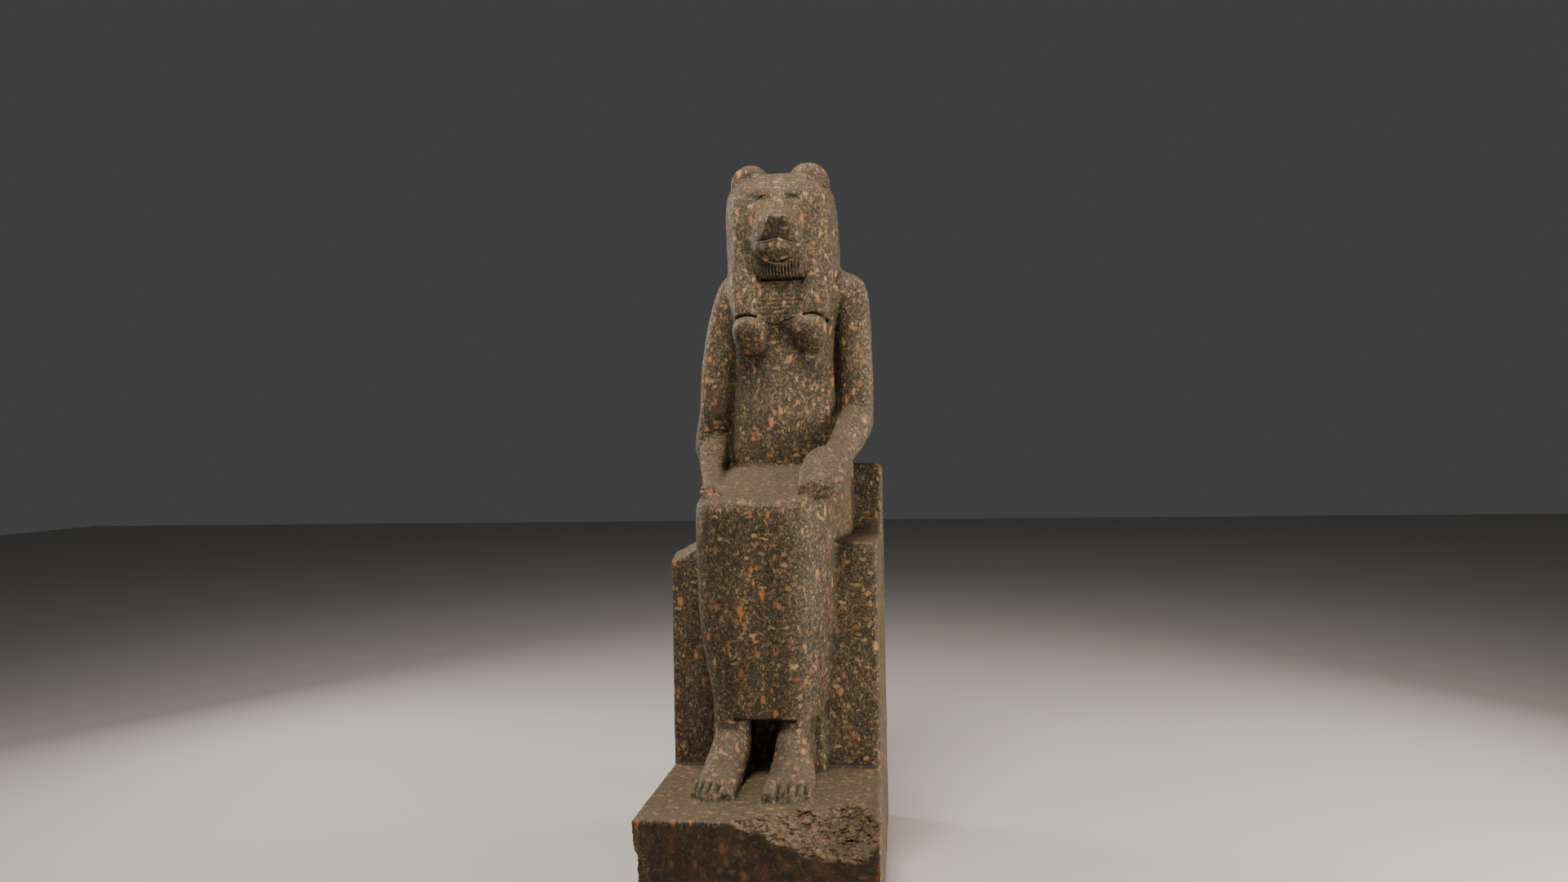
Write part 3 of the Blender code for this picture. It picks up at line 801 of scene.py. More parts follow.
@dataclass
class Body:
    """Torso and breasts."""

    belly: float = 0.120
    lap_top: float = 0.822
    breast: float = 1.205
    chest: float = 1.252
    back: float = 0.375
    breast_x: float = 0.0875
    collar_top: float = 1.346
    collar_pitch: float = 0.0125
    collar_rows: int = 8
    neckline: tuple[Spot, ...] = (
        (-0.064, 1.254), (-0.0335, 1.2389), (-0.0099, 1.2311), (0.0139, 1.242), (0.0423, 1.2505),
        (0.0612, 1.2592),
    )

    def torso(self) -> Form:
        """Makes the body from the hips to the neck."""
        return loft(Along.UP, [
            even(self.lap_top - 0.08, 0.160, self.belly + 0.014, self.back, 2.5),
            even(self.lap_top + 0.03, 0.162, self.belly - 0.004, self.back, 2.5),
            even(0.95, 0.159, self.belly - 0.004, self.back, 2.5),
            even(1.06, 0.154, self.belly + 0.006, self.back, 2.5),
            even(self.breast - 0.03, 0.152, self.belly + 0.004, self.back, 2.6),
            even(self.chest, 0.158, self.belly - 0.022, self.back, 2.7),
            even(1.300, 0.166, self.belly - 0.019, self.back, 2.7),
            even(1.340, 0.176, self.belly - 0.006, self.back - 0.004, 2.7),
            even(1.366, 0.172, self.belly + 0.012, self.back - 0.020, 2.5),
            even(1.385, 0.150, self.belly + 0.050, self.back - 0.060, 2.2),
        ], sides=80)

    def breast_form(self, side: Side) -> Form:
        """Makes one breast."""
        rows = (
            (-0.056, 0.016, 0.118), (-0.043, 0.036, 0.098), (-0.020, 0.048, 0.078), (0.006, 0.052, 0.062),
            (0.026, 0.049, 0.059), (0.043, 0.041, 0.069), (0.055, 0.030, 0.088),
        )
        return loft(Along.UP, [
            placed(self.breast + rise, side.value * self.breast_x, half, front, 0.160, 2)
            for rise, half, front in rows
        ])

    def collar(self) -> Form:
        """Makes the broad collar on the chest, between the lappets.

        Returns:
            The collar.
        """
        rows = (
            (1.232, 0.062, 0.104), (1.248, 0.068, 0.098), (1.284, 0.068, 0.094), (1.330, 0.068, 0.091),
            (1.372, 0.068, 0.091),
        )
        stations = [placed(z, 0.006, half, front, 0.180, 4.0) for z, half, front in rows]
        return loft(Along.UP, stations, sides=72)

    def forms(self) -> Iterator[Form]:
        """Makes torso, collar and breasts."""
        yield from (self.torso(), self.collar(), *map(self.breast_form, Side))

    def carve(self, skin: Skin) -> None:
        """Draws the rows of the collar and the neckline of the dress.

        Args:
            skin: the statue's surface.
        """
        for row in range(self.collar_rows):
            z = self.collar_top - self.collar_pitch * row
            path = ((-0.056, z), (0.005, z - 0.0012), (0.070, z))
            skin.draw(Line(path, 0.0026, 0.0010, behind=0.16, fade=0.05))
        skin.draw(
            Line(self.neckline, 0.0026, -0.0012, behind=0.15, fade=0.1),
            Line(lifted(self.neckline, -0.004), 0.0022, 0.0010, behind=0.15, fade=0.1),
        )


@dataclass
class WholeArm:
    """Her left arm, with the forearm and the broken fingers on the lap."""

    centre: float = 0.245

    def upper(self) -> Form:
        """Makes the upper arm, from the shoulder down to the elbow."""
        front, back = self.centre - 0.062, self.centre + 0.066
        return loft(Along.UP, [
            (1.400, 0.120, 0.180, front + 0.045, back - 0.045, 2.2),
            (1.386, 0.120, 0.212, front + 0.022, back - 0.022, 2.2),
            (1.362, 0.125, 0.238, front + 0.008, back - 0.008, 2.3),
            (1.325, 0.138, 0.250, front, back, 2.3),
            (1.250, 0.152, 0.256, front, back, 2.3),
            (1.120, 0.158, 0.259, front, back, 2.3),
            (1.000, 0.160, 0.261, front - 0.004, back, 2.3),
            (0.958, 0.162, 0.259, front - 0.008, back - 0.008, 2.3),
            (0.928, 0.168, 0.250, front - 0.010, back - 0.026, 2.2),
            (0.910, 0.186, 0.230, front, back - 0.056, 2.0),
        ])

    def forearm(self) -> Form:
        """Makes the forearm, from the elbow down and in to the wrist."""
        y = self.centre
        return loft(Along.BACK, [
            placed(y + 0.040, 0.212, 0.026, 0.940, 1.000),
            placed(y + 0.015, 0.212, 0.046, 0.914, 1.018),
            placed(y - 0.035, 0.209, 0.050, 0.892, 1.012),
            placed(0.130, 0.192, 0.048, 0.852, 0.962),
            placed(0.070, 0.174, 0.044, 0.824, 0.918),
            placed(0.015, 0.158, 0.041, 0.798, 0.880),
            placed(-0.020, 0.150, 0.038, 0.780, 0.850),
        ])

    def hand(self) -> Form:
        """Makes the back of the hand, flat on the lap."""
        return loft(Along.BACK, [
            placed(0.040, 0.158, 0.042, 0.800, 0.886, 2.3),
            placed(0.008, 0.149, 0.055, 0.785, 0.884, 2.7),
            placed(-0.028, 0.142, 0.062, 0.765, 0.876, 3.0),
            placed(-0.060, 0.138, 0.065, 0.750, 0.854, 3.0),
            placed(-0.086, 0.136, 0.063, 0.745, 0.826, 2.6),
        ])

    def fingers(self) -> Form:
        """Makes the fingers as one slab, bent down from the knuckles and broken off short."""
        return roughened(loft(Along.BACK, [
            placed(-0.060, 0.137, 0.063, 0.748, 0.838, 2.8),
            placed(-0.090, 0.135, 0.065, 0.742, 0.827, 3.0),
            placed(-0.114, 0.132, 0.063, 0.740, 0.812, 3.0),
            placed(-0.132, 0.125, 0.055, 0.740, 0.797, 2.8),
            placed(-0.143, 0.118, 0.043, 0.744, 0.782, 2.5),
        ], sides=72), 0.003, 55)

    def thumb(self) -> Form:
        """Makes the thumb along the inner side of the hand."""
        return loft(Along.BACK, [
            placed(-0.004, 0.106, 0.020, 0.796, 0.858),
            placed(-0.040, 0.089, 0.020, 0.780, 0.842),
            placed(-0.072, 0.082, 0.017, 0.768, 0.818),
            placed(-0.092, 0.079, 0.011, 0.766, 0.798),
        ], sides=32)

    def webs(self) -> Iterator[Form]:
        """Makes the stone left standing beside the body and under the forearm."""
        yield arm_web(Side.HER_LEFT)
        yield loft(Along.BACK, [
            (-0.010, 0.118, 0.156, 0.70, 0.840, 5),
            (0.060, 0.130, 0.172, 0.70, 0.872, 5),
            (0.140, 0.140, 0.180, 0.70, 0.900, 5),
            (0.270, 0.145, 0.186, 0.70, 0.950, 5),
        ])

    def forms(self) -> Iterator[Form]:
        """Makes arm, hand, fingers, thumb and webs."""
        yield from (self.upper(), self.forearm(), self.hand(), self.fingers(), self.thumb())
        yield from self.webs()

    def break_zone(self) -> Zone:
        """Gives the end of the fingers, where they broke off."""
        return Zone((0.060, -0.19, 0.757), (0.195, -0.124, 0.800), 0.008)

    def carve(self, skin: Skin) -> None:
        """Roughens the fingers' broken end, and marks the knuckles and the gaps between fingers and thumb.

        Args:
            skin: the statue's surface.
        """
        which = skin.inside((0.05, -0.19, 0.735), (0.21, -0.095, 0.82))
        spots = skin.points[which]
        skin.push(which, self.break_zone().share(spots) * chipped(spots, 21, 0.0014, 0.0006))
        skin.draw(Line(((0.090, 0.800), (0.135, 0.812), (0.196, 0.806)), 0.006, 0.0016, behind=0.0))
        for centre, radii, depth in (
            ((0.112, -0.100, 0.806), (0.006, 0.030, 0.012), 0.0030),
            ((0.142, -0.100, 0.806), (0.005, 0.034, 0.012), 0.0022),
            ((0.170, -0.098, 0.804), (0.005, 0.034, 0.012), 0.0022),
            ((0.079, -0.104, 0.790), (0.007, 0.008, 0.012), 0.0060),
        ):
            skin.dent(centre, radii, depth)


def arm_web(side: Side) -> Form:
    """Makes the stone left standing between an arm and the body."""
    return loft(Along.UP, [
        placed(0.78, side.value * 0.160, 0.036, 0.232, 0.300, 5),
        placed(1.32, side.value * 0.152, 0.032, 0.232, 0.300, 5),
    ], between=1)


@dataclass
class BrokenArm:
    """Her right arm, broken off in front of the elbow, and what is left of its hand."""

    centre: float = 0.245
    front_gain: float = 1.6

    def upper(self) -> Form:
        """Makes the arm down to the elbow, with the break across its front."""
        front, back = self.centre - 0.062, self.centre + 0.066
        return loft(Along.UP, [
            (1.400, -0.172, -0.120, front + 0.045, back - 0.045, 2.2),
            (1.380, -0.188, -0.120, front + 0.022, back - 0.022, 2.2),
            (1.350, -0.204, -0.124, front + 0.006, back - 0.006, 2.3),
            (1.310, -0.218, -0.130, front, back, 2.3),
            (1.234, -0.238, -0.140, front, back, 2.3),
            (1.124, -0.256, -0.150, front, back, 2.3),
            (1.000, -0.264, -0.158, front + 0.004, back, 2.4),
            (0.940, -0.275, -0.166, front + 0.016, back, 2.6),
            (0.890, -0.282, -0.174, front + 0.022, back, 2.6),
            (0.862, -0.278, -0.180, front + 0.020, back - 0.006, 2.6),
            (0.835, -0.264, -0.184, front + 0.012, back - 0.020, 2.6),
            (0.800, -0.254, -0.180, front, back - 0.030, 2.6),
            (0.740, -0.246, -0.180, front, back - 0.040, 2.6),
        ])

    def stump(self) -> Form:
        """Makes what is left of the forearm, a ragged ridge from the elbow down to the lap."""
        return roughened(loft(Along.BACK, [
            (self.centre, -0.262, -0.176, 0.80, 0.950, 2.6),
            (0.170, -0.252, -0.174, 0.79, 0.886, 2.6),
            (0.120, -0.240, -0.172, 0.77, 0.846, 2.8),
            (0.050, -0.222, -0.160, 0.75, 0.812, 3.0),
            (-0.020, -0.200, -0.150, 0.73, 0.782, 3.0),
        ]), 0.006, 24)

    def fist(self) -> Form:
        """Makes the low remains of the hand on the edge of the lap."""
        return roughened(ball((-0.171, -0.112, 0.762), (0.025, 0.034, 0.022)), 0.010, 40)

    def forms(self) -> Iterator[Form]:
        """Makes arm, stump, fist and web."""
        yield from (self.upper(), self.stump(), self.fist(), arm_web(Side.HER_RIGHT))

    def elbow_zone(self) -> Zone:
        """Gives the break from the elbow down along the stump."""
        return Zone((-0.275, -0.05, 0.80), (-0.165, 0.205, 0.930), 0.022)

    def fist_zone(self) -> Zone:
        """Gives the remains of the hand."""
        return Zone((-0.200, -0.150, 0.750), (-0.130, -0.080, 0.790), 0.012)

    def carve(self, skin: Skin) -> None:
        """Roughens the break at the elbow and the remains of the hand.

        Args:
            skin: the statue's surface.
        """
        which = skin.inside((-0.30, -0.06, 0.78), (-0.15, 0.24, 0.99))
        spots = skin.points[which]
        share = self.elbow_zone().share(spots) * skin.facing(self.front_gain)[which]
        skin.push(which, share * chipped(spots, 31, 0.0022, 0.0010))
        which = skin.inside((-0.215, -0.17, 0.735), (-0.11, -0.06, 0.81))
        spots = skin.points[which]
        skin.push(which, self.fist_zone().share(spots) * chipped(spots, 41, 0.0018, 0.0008))
        skin.dent((-0.182, 0.150, 0.905), (0.010, 0.030, 0.022), 0.007)
        skin.dent((-0.178, 0.120, 0.868), (0.008, 0.020, 0.007), 0.006)


@dataclass
class Feet:
    """Both feet, with the ankles that run up under the hem."""

    hem: float = 0.151
    toe_tips: float = -0.305
    her_right: tuple[Spot, ...] = (
        (0.0225, -0.316), (0.0120, -0.322), (0.0095, -0.320), (0.0075, -0.312), (0.0075, -0.300),
    )
    her_left: tuple[Spot, ...] = (
        (0.0210, -0.320), (0.0130, -0.294), (0.0115, -0.320), (0.0095, -0.312), (0.0090, -0.298),
    )
    big_toes: tuple[float, float] = (-0.100, 0.006)
    foot_sizes: tuple[tuple[float, float, float, float], ...] = (
        (-0.122, -0.137, 0.055, 0.058), (0.045, 0.0515, 0.050, 0.0655),
    )

    def foot(self, ankle_x: float, toe_x: float, ankle_half: float, toe_half: float) -> Form:
        """Makes a foot from the heel up over the instep to the ball.

        Args:
            ankle_x: the middle of the ankle.
            toe_x: the middle of the toes.
            ankle_half: half the ankle's width.
            toe_half: half the width over the toes.

        Returns:
            The foot without its toes.
        """
        sole, hem, tips = -0.03, self.hem, self.toe_tips
        middle = (ankle_x + toe_x) / 2
        return loft(Along.BACK, [
            placed(0.010, ankle_x, ankle_half - 0.006, sole, hem + 0.03, 3.0),
            placed(-0.060, ankle_x, ankle_half, sole, hem + 0.02, 2.5),
            placed(-0.102, ankle_x, ankle_half, sole, hem - 0.005, 2.1),
            placed(-0.138, middle, (ankle_half + toe_half) / 2, sole, 0.110, 1.8),
            placed(-0.178, (middle + toe_x) / 2, toe_half - 0.001, sole, 0.075, 1.8),
            placed(tips + 0.085, toe_x, toe_half, sole, 0.052, 2.1),
            placed(tips + 0.055, toe_x, toe_half - 0.003, sole, 0.036, 2.8),
            placed(tips + 0.045, toe_x, toe_half - 0.012, sole, 0.018, 2.8),
        ])

    def ankle(self, x: float, half: float) -> Form:
        """Makes an ankle."""
        return loft(Along.UP, [
            placed(-0.02, x, half + 0.003, -0.116, 0.01, 2.4),
            placed(0.09, x, half + 0.001, -0.118, 0.01, 2.3),
            placed(self.hem + 0.04, x, half, -0.119, 0.01, 2.3),
        ])

    def toe(self, x: float, half: float, tip: float, top: float) -> Form:
        """Makes a straight toe with a rounded end, flatter at its tip.

        Args:
            x: its middle.
            half: half its width.
            tip: how far forward it reaches.
            top: its height.

        Returns:
            The toe.
        """
        root = -0.220
        return loft(Along.BACK, [
            placed(root, x, half, -0.02, top + 0.010, 2.3),
            placed((root + tip) / 2, x, half, -0.02, top + 0.002, 2.3),
            placed(tip + 0.024, x, half, -0.02, top - 0.002, 2.3),
            placed(tip + 0.010, x, half * 0.96, -0.02, top - 0.007, 2.2),
            placed(tip + 0.003, x, half * 0.82, -0.02, top - 0.015, 2.1),
            placed(tip, x, half * 0.5, -0.015, top - 0.022, 2.0),
        ], sides=32, between=4)

    def toe_places(self, side: Side) -> list[tuple[float, float, float]]:
        """Lays out the toes of one foot, from the big one outward.

        Args:
            side: which foot.

        Returns:
            The middle, the half width and the tip of each toe.
        """
        tips = self.her_left if side is Side.HER_LEFT else self.her_right
        x = self.big_toes[side is Side.HER_LEFT]
        places = [(x, *tips[0])]
        for (before, _), (half, tip) in itertools.pairwise(tips):
            x += side.value * (before + half)
            places.append((x, half, tip))
        return places

    def forms(self) -> Iterator[Form]:
        """Makes both feet, the ankles, the toes and the web behind them.

        Yields:
            Each rough form.
        """
        for ankle_x, toe_x, ankle_half, toe_half in self.foot_sizes:
            yield self.foot(ankle_x, toe_x, ankle_half, toe_half)
            yield self.ankle(ankle_x, ankle_half - 0.001)
        for side in Side:
            for index, (x, half, tip) in enumerate(self.toe_places(side)):
                yield self.toe(x, half - 0.0005, tip, 0.030 if index else 0.036)
        yield loft(Along.UP, [
            (-0.03, -0.156, 0.128, -0.046, 0.030, 12),
            (self.hem + 0.01, -0.158, 0.122, -0.046, 0.030, 12),
        ], sides=96, between=1)

    def carve(self, skin: Skin) -> None:
        """Deepens the clefts between the toes, and cuts the nails and the ankle bones.

        Args:
            skin: the statue's surface.
        """
        for side in Side:
            places = self.toe_places(side)
            for (x, half, tip), (_, _, next_tip) in itertools.pairwise(places):
                cleft = x + side.value * half
                near = skin.inside((cleft - 0.010, -0.34, -0.002), (cleft + 0.010, -0.20, 0.07))
                across, along, up = skin.points[near].T
                along = ramp(max(tip, next_tip) - 0.004, -0.280, along) * (1 - ramp(-0.270, -0.240, along))
                deep = bell(across - cleft, 0.0018) * along * ramp(0.004, 0.012, up)
                skin.points[near] -= np.outer(deep, (0, 0, 0.0025))
            skin.settle()
            for index, (x, half, tip) in enumerate(places):
                self.nail(skin, x, half, tip, 0.0285 if index else 0.0345)
        skin.dent((-0.168, -0.055, 0.105), (0.010, 0.020, 0.020), -0.004)
        skin.dent((0.114, -0.055, 0.105), (0.010, 0.020, 0.020), -0.004)

    @staticmethod
    def nail(skin: Skin, x: float, half: float, tip: float, top: float) -> None:
        """Sinks a nail's outline into the top of a toe.

        Args:
            skin: the statue's surface.
            x: the toe's middle.
            half: half its width.
            tip: how far forward it reaches.
            top: its height.
        """
        near = skin.inside((x - half, tip - 0.004, top - 0.024), (x + half, tip + 0.040, top + 0.012))
        spots = skin.points[near]
        across = (spots[:, 0] - x) / (half * 0.58)
        along = (spots[:, 1] - (tip + 0.013)) / (half * 0.80)
        ring = np.sqrt(across ** 2 + along ** 2)
        skin.push(near, -0.0011 * bell(ring - 1, 0.20) + 0.0005 * bell(ring, 0.8))


@dataclass
class Head:
    """The lioness's head: mane and wig, lappets, fringe, face, snout, jaw and ears.

    The ears, the mouth and the lines beside the snout are set one by one, because the face isn't even.
    """

    lappet_end: float = 1.252
    fringe: float = 1.363
    chin: float = 1.394
    mouth: float = 1.457
    nose: float = 1.522
    eye: float = 1.594
    ear: float = 1.647
    crown: float = 1.676
    nose_tip: float = -0.012
    fringe_x: float = 0.006
    face_plane: float = 0.085
    turn: float = 0.15
    wig_back_y: float = 0.400
    eye_middle: float = 0.003
    eye_apart: float = 0.046
    fringe_pitch: float = 0.0092
    strand_pitch: float = 0.0078
    mouth_path: tuple[Spot, ...] = (
        (-0.0600, 1.4590), (-0.0284, 1.4590), (-0.0110, 1.4608), (-0.0020, 1.4632), (0.0085, 1.4645),
        (0.0190, 1.4630), (0.0300, 1.4590), (0.0404, 1.4548), (0.0701, 1.4510), (0.0850, 1.4474),
    )
    chin_path: tuple[Spot, ...] = (
        (-0.0610, 1.4400), (-0.0556, 1.4328), (-0.0419, 1.4160), (-0.0280, 1.4062), (-0.0119, 1.3987),
        (0.0044, 1.3950), (0.0184, 1.3975), (0.0371, 1.4059), (0.0559, 1.4213), (0.0793, 1.4410),
    )

    def wig(self) -> Form:
        """Makes the mass of mane and wig that frames the face, with its flat crown."""
        back = self.wig_back_y
        return loft(Along.UP, [
            (1.300, -0.150, 0.150, 0.190, back - 0.010, 2.6),
            (self.fringe, -0.166, 0.165, 0.112, back, 2.6),
            (1.440, -0.170, 0.167, 0.096, back, 2.4),
            (1.530, -0.174, 0.165, 0.090, back, 2.3),
            (1.590, -0.173, 0.159, 0.094, back - 0.006, 2.3),
            (1.630, -0.165, 0.150, 0.106, back - 0.020, 2.2),
            (1.655, -0.146, 0.132, 0.118, back - 0.040, 2.2),
            (1.668, -0.118, 0.106, 0.127, back - 0.064, 2.2),
            (self.crown, -0.084, 0.076, 0.144, back - 0.096, 2.2),
        ], sides=96)

    def wig_back(self) -> Form:
        """Makes the part of the wig that hangs behind the shoulders."""
        return loft(Along.UP, [
            even(1.235, 0.130, 0.300, 0.402, 3.4),
            even(1.250, 0.138, 0.290, 0.410, 3.4),
            even(1.350, 0.150, 0.280, 0.412, 3.4),
            even(1.460, 0.158, 0.260, 0.404, 3.0),
        ], sides=72)

    def lappet(self, side: Side) -> Form:
        """Makes a front strand of the wig, lying on the chest down to the breast.

        Args:
            side: the side that it hangs on.

        Returns:
            The strand.
        """
        stations = [
            (self.lappet_end, 0.064, 0.137, 0.080, 0.160, 3.6),
            (1.300, 0.064, 0.143, 0.081, 0.160, 3.6),
            (1.350, 0.065, 0.151, 0.086, 0.170, 3.2),
            (1.410, 0.062, 0.156, 0.095, 0.200, 2.8),
            (1.470, 0.060, 0.150, 0.106, 0.200, 2.6),
            (1.500, 0.060, 0.140, 0.116, 0.200, 2.6),
        ]
        bm = loft(Along.UP, stations if side is Side.HER_LEFT else mirrored(stations))
        bmesh.ops.translate(bm, vec=(self.fringe_x, 0, 0), verts=bm.verts)
        return bm

    def ruff(self) -> Form:
        """Makes the beard-like fringe of the mane under the chin."""
        x = self.fringe_x
        return loft(Along.UP, [
            placed(self.fringe, x, 0.066, 0.078, 0.160, 3.0),
            placed(self.fringe + 0.006, x, 0.072, 0.069, 0.160, 3.0),
            placed(self.chin + 0.004, x, 0.080, 0.064, 0.160, 2.8),
            placed(self.chin + 0.030, x, 0.090, 0.066, 0.160, 2.6),
            placed(self.chin + 0.070, x, 0.104, 0.078, 0.160, 2.4),
        ], sides=72)

    def turned(self, bm: Form) -> Form:
        """Draws the snout a little to her left, more the further it stands out.

        Args:
            bm: a form of the snout.

        Returns:
            The same form.
        """
        for vert in bm.verts:
            vert.co.x += self.turn * max(0, self.face_plane - vert.co.y)
        return bm

    def face(self) -> Form:
        """Makes the face between the cheeks of the mane, from chin to crown."""
        return loft(Along.UP, [even(z, half, fore, 0.220, square) for z, half, fore, square in (
            (self.chin + 0.010, 0.108, 0.076, 2.1), (self.mouth, 0.136, 0.069, 2.1),
            (1.500, 0.150, 0.068, 2.1), (1.550, 0.153, 0.070, 2.1), (self.eye, 0.149, 0.075, 2.1),
            (1.618, 0.138, 0.083, 2.1), (1.640, 0.120, 0.096, 2.1), (1.658, 0.098, 0.113, 2.1),
            (self.crown - 0.003, 0.074, 0.143, 2.2),
        )], sides=88)

    def muzzle(self) -> Form:
        """Makes the broad snout, from the nose bridge to the upper lip that falls back under the nose.

        Returns:
            The snout, with a flat front that narrows up to the nose and sides that fall away.
        """
        tip, root, half, narrowing, slope = self.nose_tip, 0.150, 0.045, 0.025, 1.25
        bm = loft(Along.UP, [even(z, half, fore, root, square) for z, half, fore, square in (
            (self.mouth, 0.073, tip + 0.036, 2.6), (self.mouth + 0.012, 0.074, tip + 0.029, 2.6),
            (self.mouth + 0.034, 0.074, tip + 0.015, 2.6), (self.nose - 0.016, 0.071, tip + 0.003, 2.6),
            (self.nose - 0.004, 0.069, tip, 2.6), (self.nose + 0.006, 0.066, tip + 0.008, 2.6),
            (self.nose + 0.026, 0.060, tip + 0.032, 2.4), (self.nose + 0.052, 0.054, tip + 0.060, 2.2),
            (self.nose + 0.084, 0.044, tip + 0.080, 2.0),
        )], sides=120)
        fronts: dict[float, float] = {}
        for vert in bm.verts:
            level = round(vert.co.z, 5)
            fronts[level] = min(fronts.get(level, 1.0), vert.co.y)
        for vert in bm.verts:
            rise = (vert.co.z - self.mouth) / (self.nose - self.mouth)
            flat = half - narrowing * min(1.0, rise)
            side = fronts[round(vert.co.z, 5)] + slope * max(0.0, abs(vert.co.x) - flat)
            vert.co.y = min(max(vert.co.y, side), root)
        return self.turned(bm)

    def jaw(self) -> Form:
        """Makes the rounded lower jaw."""
        tip = self.nose_tip
        return self.turned(loft(Along.UP, [
            even(self.chin, 0.022, tip + 0.070, 0.150, 2.1),
            even(self.chin + 0.008, 0.038, tip + 0.060, 0.150, 2.1),
            even(self.chin + 0.023, 0.056, tip + 0.042, 0.150, 2.2),
            even(self.chin + 0.041, 0.070, tip + 0.032, 0.150, 2.3),
            even(self.mouth - 0.010, 0.074, tip + 0.033, 0.150, 2.3),
            even(self.mouth + 0.002, 0.073, tip + 0.036, 0.150, 2.3),
        ], sides=72))

    def chin_rim(self) -> Form:
        """Makes the thin raised rim that runs round under the chin.

        Returns:
            The rim, thinnest at both ends.
        """
        depths = (0.0560, 0.0540, 0.0520, 0.0505, 0.0490, 0.0480, 0.0490, 0.0515, 0.0570, 0.0700)
        halves = (0.0020, 0.0034, 0.0042, 0.0044, 0.0044, 0.0044, 0.0044, 0.0042, 0.0034, 0.0020)
        return loft(Along.ACROSS, [
            placed(x, y, 0.0075, z - 0.003 - half, z - 0.003 + half, 2.0)
            for (x, z), y, half in zip(self.chin_path, depths, halves)
        ], sides=24)

    def ear_form(self, centre: float, half: float) -> Form:
        """Makes a round ear, a thick disc standing on the shoulder of the crown.

        Args:
            centre: its middle.
            half: half its width.

        Returns:
            The ear.
        """
        rise = 0.0640
        rounding = ((0.160, 0.55), (0.166, 0.86), (0.180, 1.0), (0.206, 1.0), (0.228, 0.90), (0.246, 0.62))
        return loft(Along.BACK, [
            placed(y, centre, half * share, self.ear - rise * share, self.ear + rise * share, 2.05)
            for y, share in rounding
        ], sides=72)

    def forms(self) -> Iterator[Form]:
        """Makes every form of the head.

        Yields:
            Each rough form.
        """
        yield from (self.wig(), self.wig_back(), self.ruff(), self.face(), self.muzzle(), self.jaw())
        yield from (self.chin_rim(), self.ear_form(-0.0890, 0.0600), self.ear_form(0.0815, 0.0632))
        yield from map(self.lappet, Side)

    def carve(self, skin: Skin) -> None:
        """Carves the face, the ears, the fringe and the strands of the wig.

        Args:
            skin: the statue's surface.
        """
        self.carve_eyes(skin)
        self.carve_snout(skin)
        self.carve_ears(skin)
        skin.settle()
        self.carve_strands(skin)
        self.carve_lappet_ends(skin)

    def carve_eyes(self, skin: Skin) -> None:
        """Sinks the sockets, and cuts each slanting eye with its lids and its inner corner.

        Args:
            skin: the statue's surface.
        """
        lower = ((0.0315, 1.5940), (0.0360, 1.5885), (0.0436, 1.5825), (0.0528, 1.5785), (0.0700, 1.5745))
        upper = ((0.0325, 1.5950), (0.0462, 1.5955), (0.0599, 1.5880), (0.0700, 1.5745))
        for side in Side:
            x = self.eye_middle + side.value * self.eye_apart
            skin.dent((x, 0.075, 1.589), (0.028, 0.05, 0.015), 0.0050)
            skin.settle()
            skin.dent((x, 0.075, 1.5885), (0.0165, 0.05, 0.0075), 0.0036)
            skin.settle()
            skin.draw(
                Line(self.over_eye(side, lower), 0.0018, 0.0012, behind=0.13, fade=0.20),
                Line(self.over_eye(side, upper), 0.0020, 0.0016, behind=0.13, fade=0.14),
            )

    def over_eye(self, side: Side, path: Iterable[Spot]) -> tuple[Spot, ...]:
        """Puts a path that is drawn for her left eye on either side."""
        return tuple((self.eye_middle + side.value * (x - self.eye_middle), z) for x, z in path)

    def darkness(self, skin: Skin) -> np.ndarray:
        """Says where the eyes, which slant down outwards, are darker, and where the front of the snout,
        which faces down, gets painted shade.

        Args:
            skin: the carved surface.

        Returns:
            One value for each point, 1 in the middle of an eye.
        """
        across, back, up = skin.points.T
        outward = np.abs(across - self.eye_middle) - self.eye_apart
        slant = up - 1.5900 + 0.35 * outward
        eyes = np.exp(-(outward / 0.014) ** 2 - (slant / 0.0065) ** 2) * (back < 0.12)
        # painted shade: the front of the snout between mouth and nose, where it faces down and forward, is
        # darkened
        snout = ramp(self.mouth + 0.001, self.mouth + 0.006, up) * skin.facing(2, 0.6)
        snout = snout * (1 - ramp(self.nose - 0.012, self.nose - 0.002, up)) * (back < 0.035)
        return np.maximum(eyes, 0.45 * snout)

    def carve_snout(self, skin: Skin) -> None:
        """Cuts mouth, nose, nostrils, cheek creases and the rim under the chin.

        Args:
            skin: the statue's surface.
        """
        skin.draw(
            Line(self.mouth_path, 0.0017, 0.0026, behind=0.09, fade=0.10),
            Line(lifted(self.mouth_path, -0.0046), 0.0024, -0.0014, behind=0.09, fade=0.12),
            Line(lifted(self.chin_path, 0.0065), 0.0056, 0.0040, behind=0.12, fade=0.10),
            Line(((0.0540, 1.4215), (0.0660, 1.4300), (0.0830, 1.4470)), 0.0028, 0.0060,
                 behind=0.12, fade=0.2),
            Line(((-0.0670, 1.5440), (-0.0690, 1.4988), (-0.0665, 1.4420)), 0.0036, 0.0020, behind=0.11),
            Line(((0.0800, 1.5480), (0.0856, 1.5037), (0.0850, 1.4692), (0.0825, 1.4420)), 0.0034, 0.0030,
                 behind=0.11),
            Line(((-0.0080, 1.5150), (-0.0020, 1.5080), (0.0060, 1.5060)), 0.0030, 0.0024, behind=0.05),
            Line(((0.0370, 1.5140), (0.0315, 1.5075), (0.0240, 1.5060)), 0.0030, 0.0024, behind=0.05),
            Line(((0.0150, 1.5060), (0.0130, 1.4850), (0.0100, 1.4660)), 0.0022, 0.0012, behind=0.05),
        )

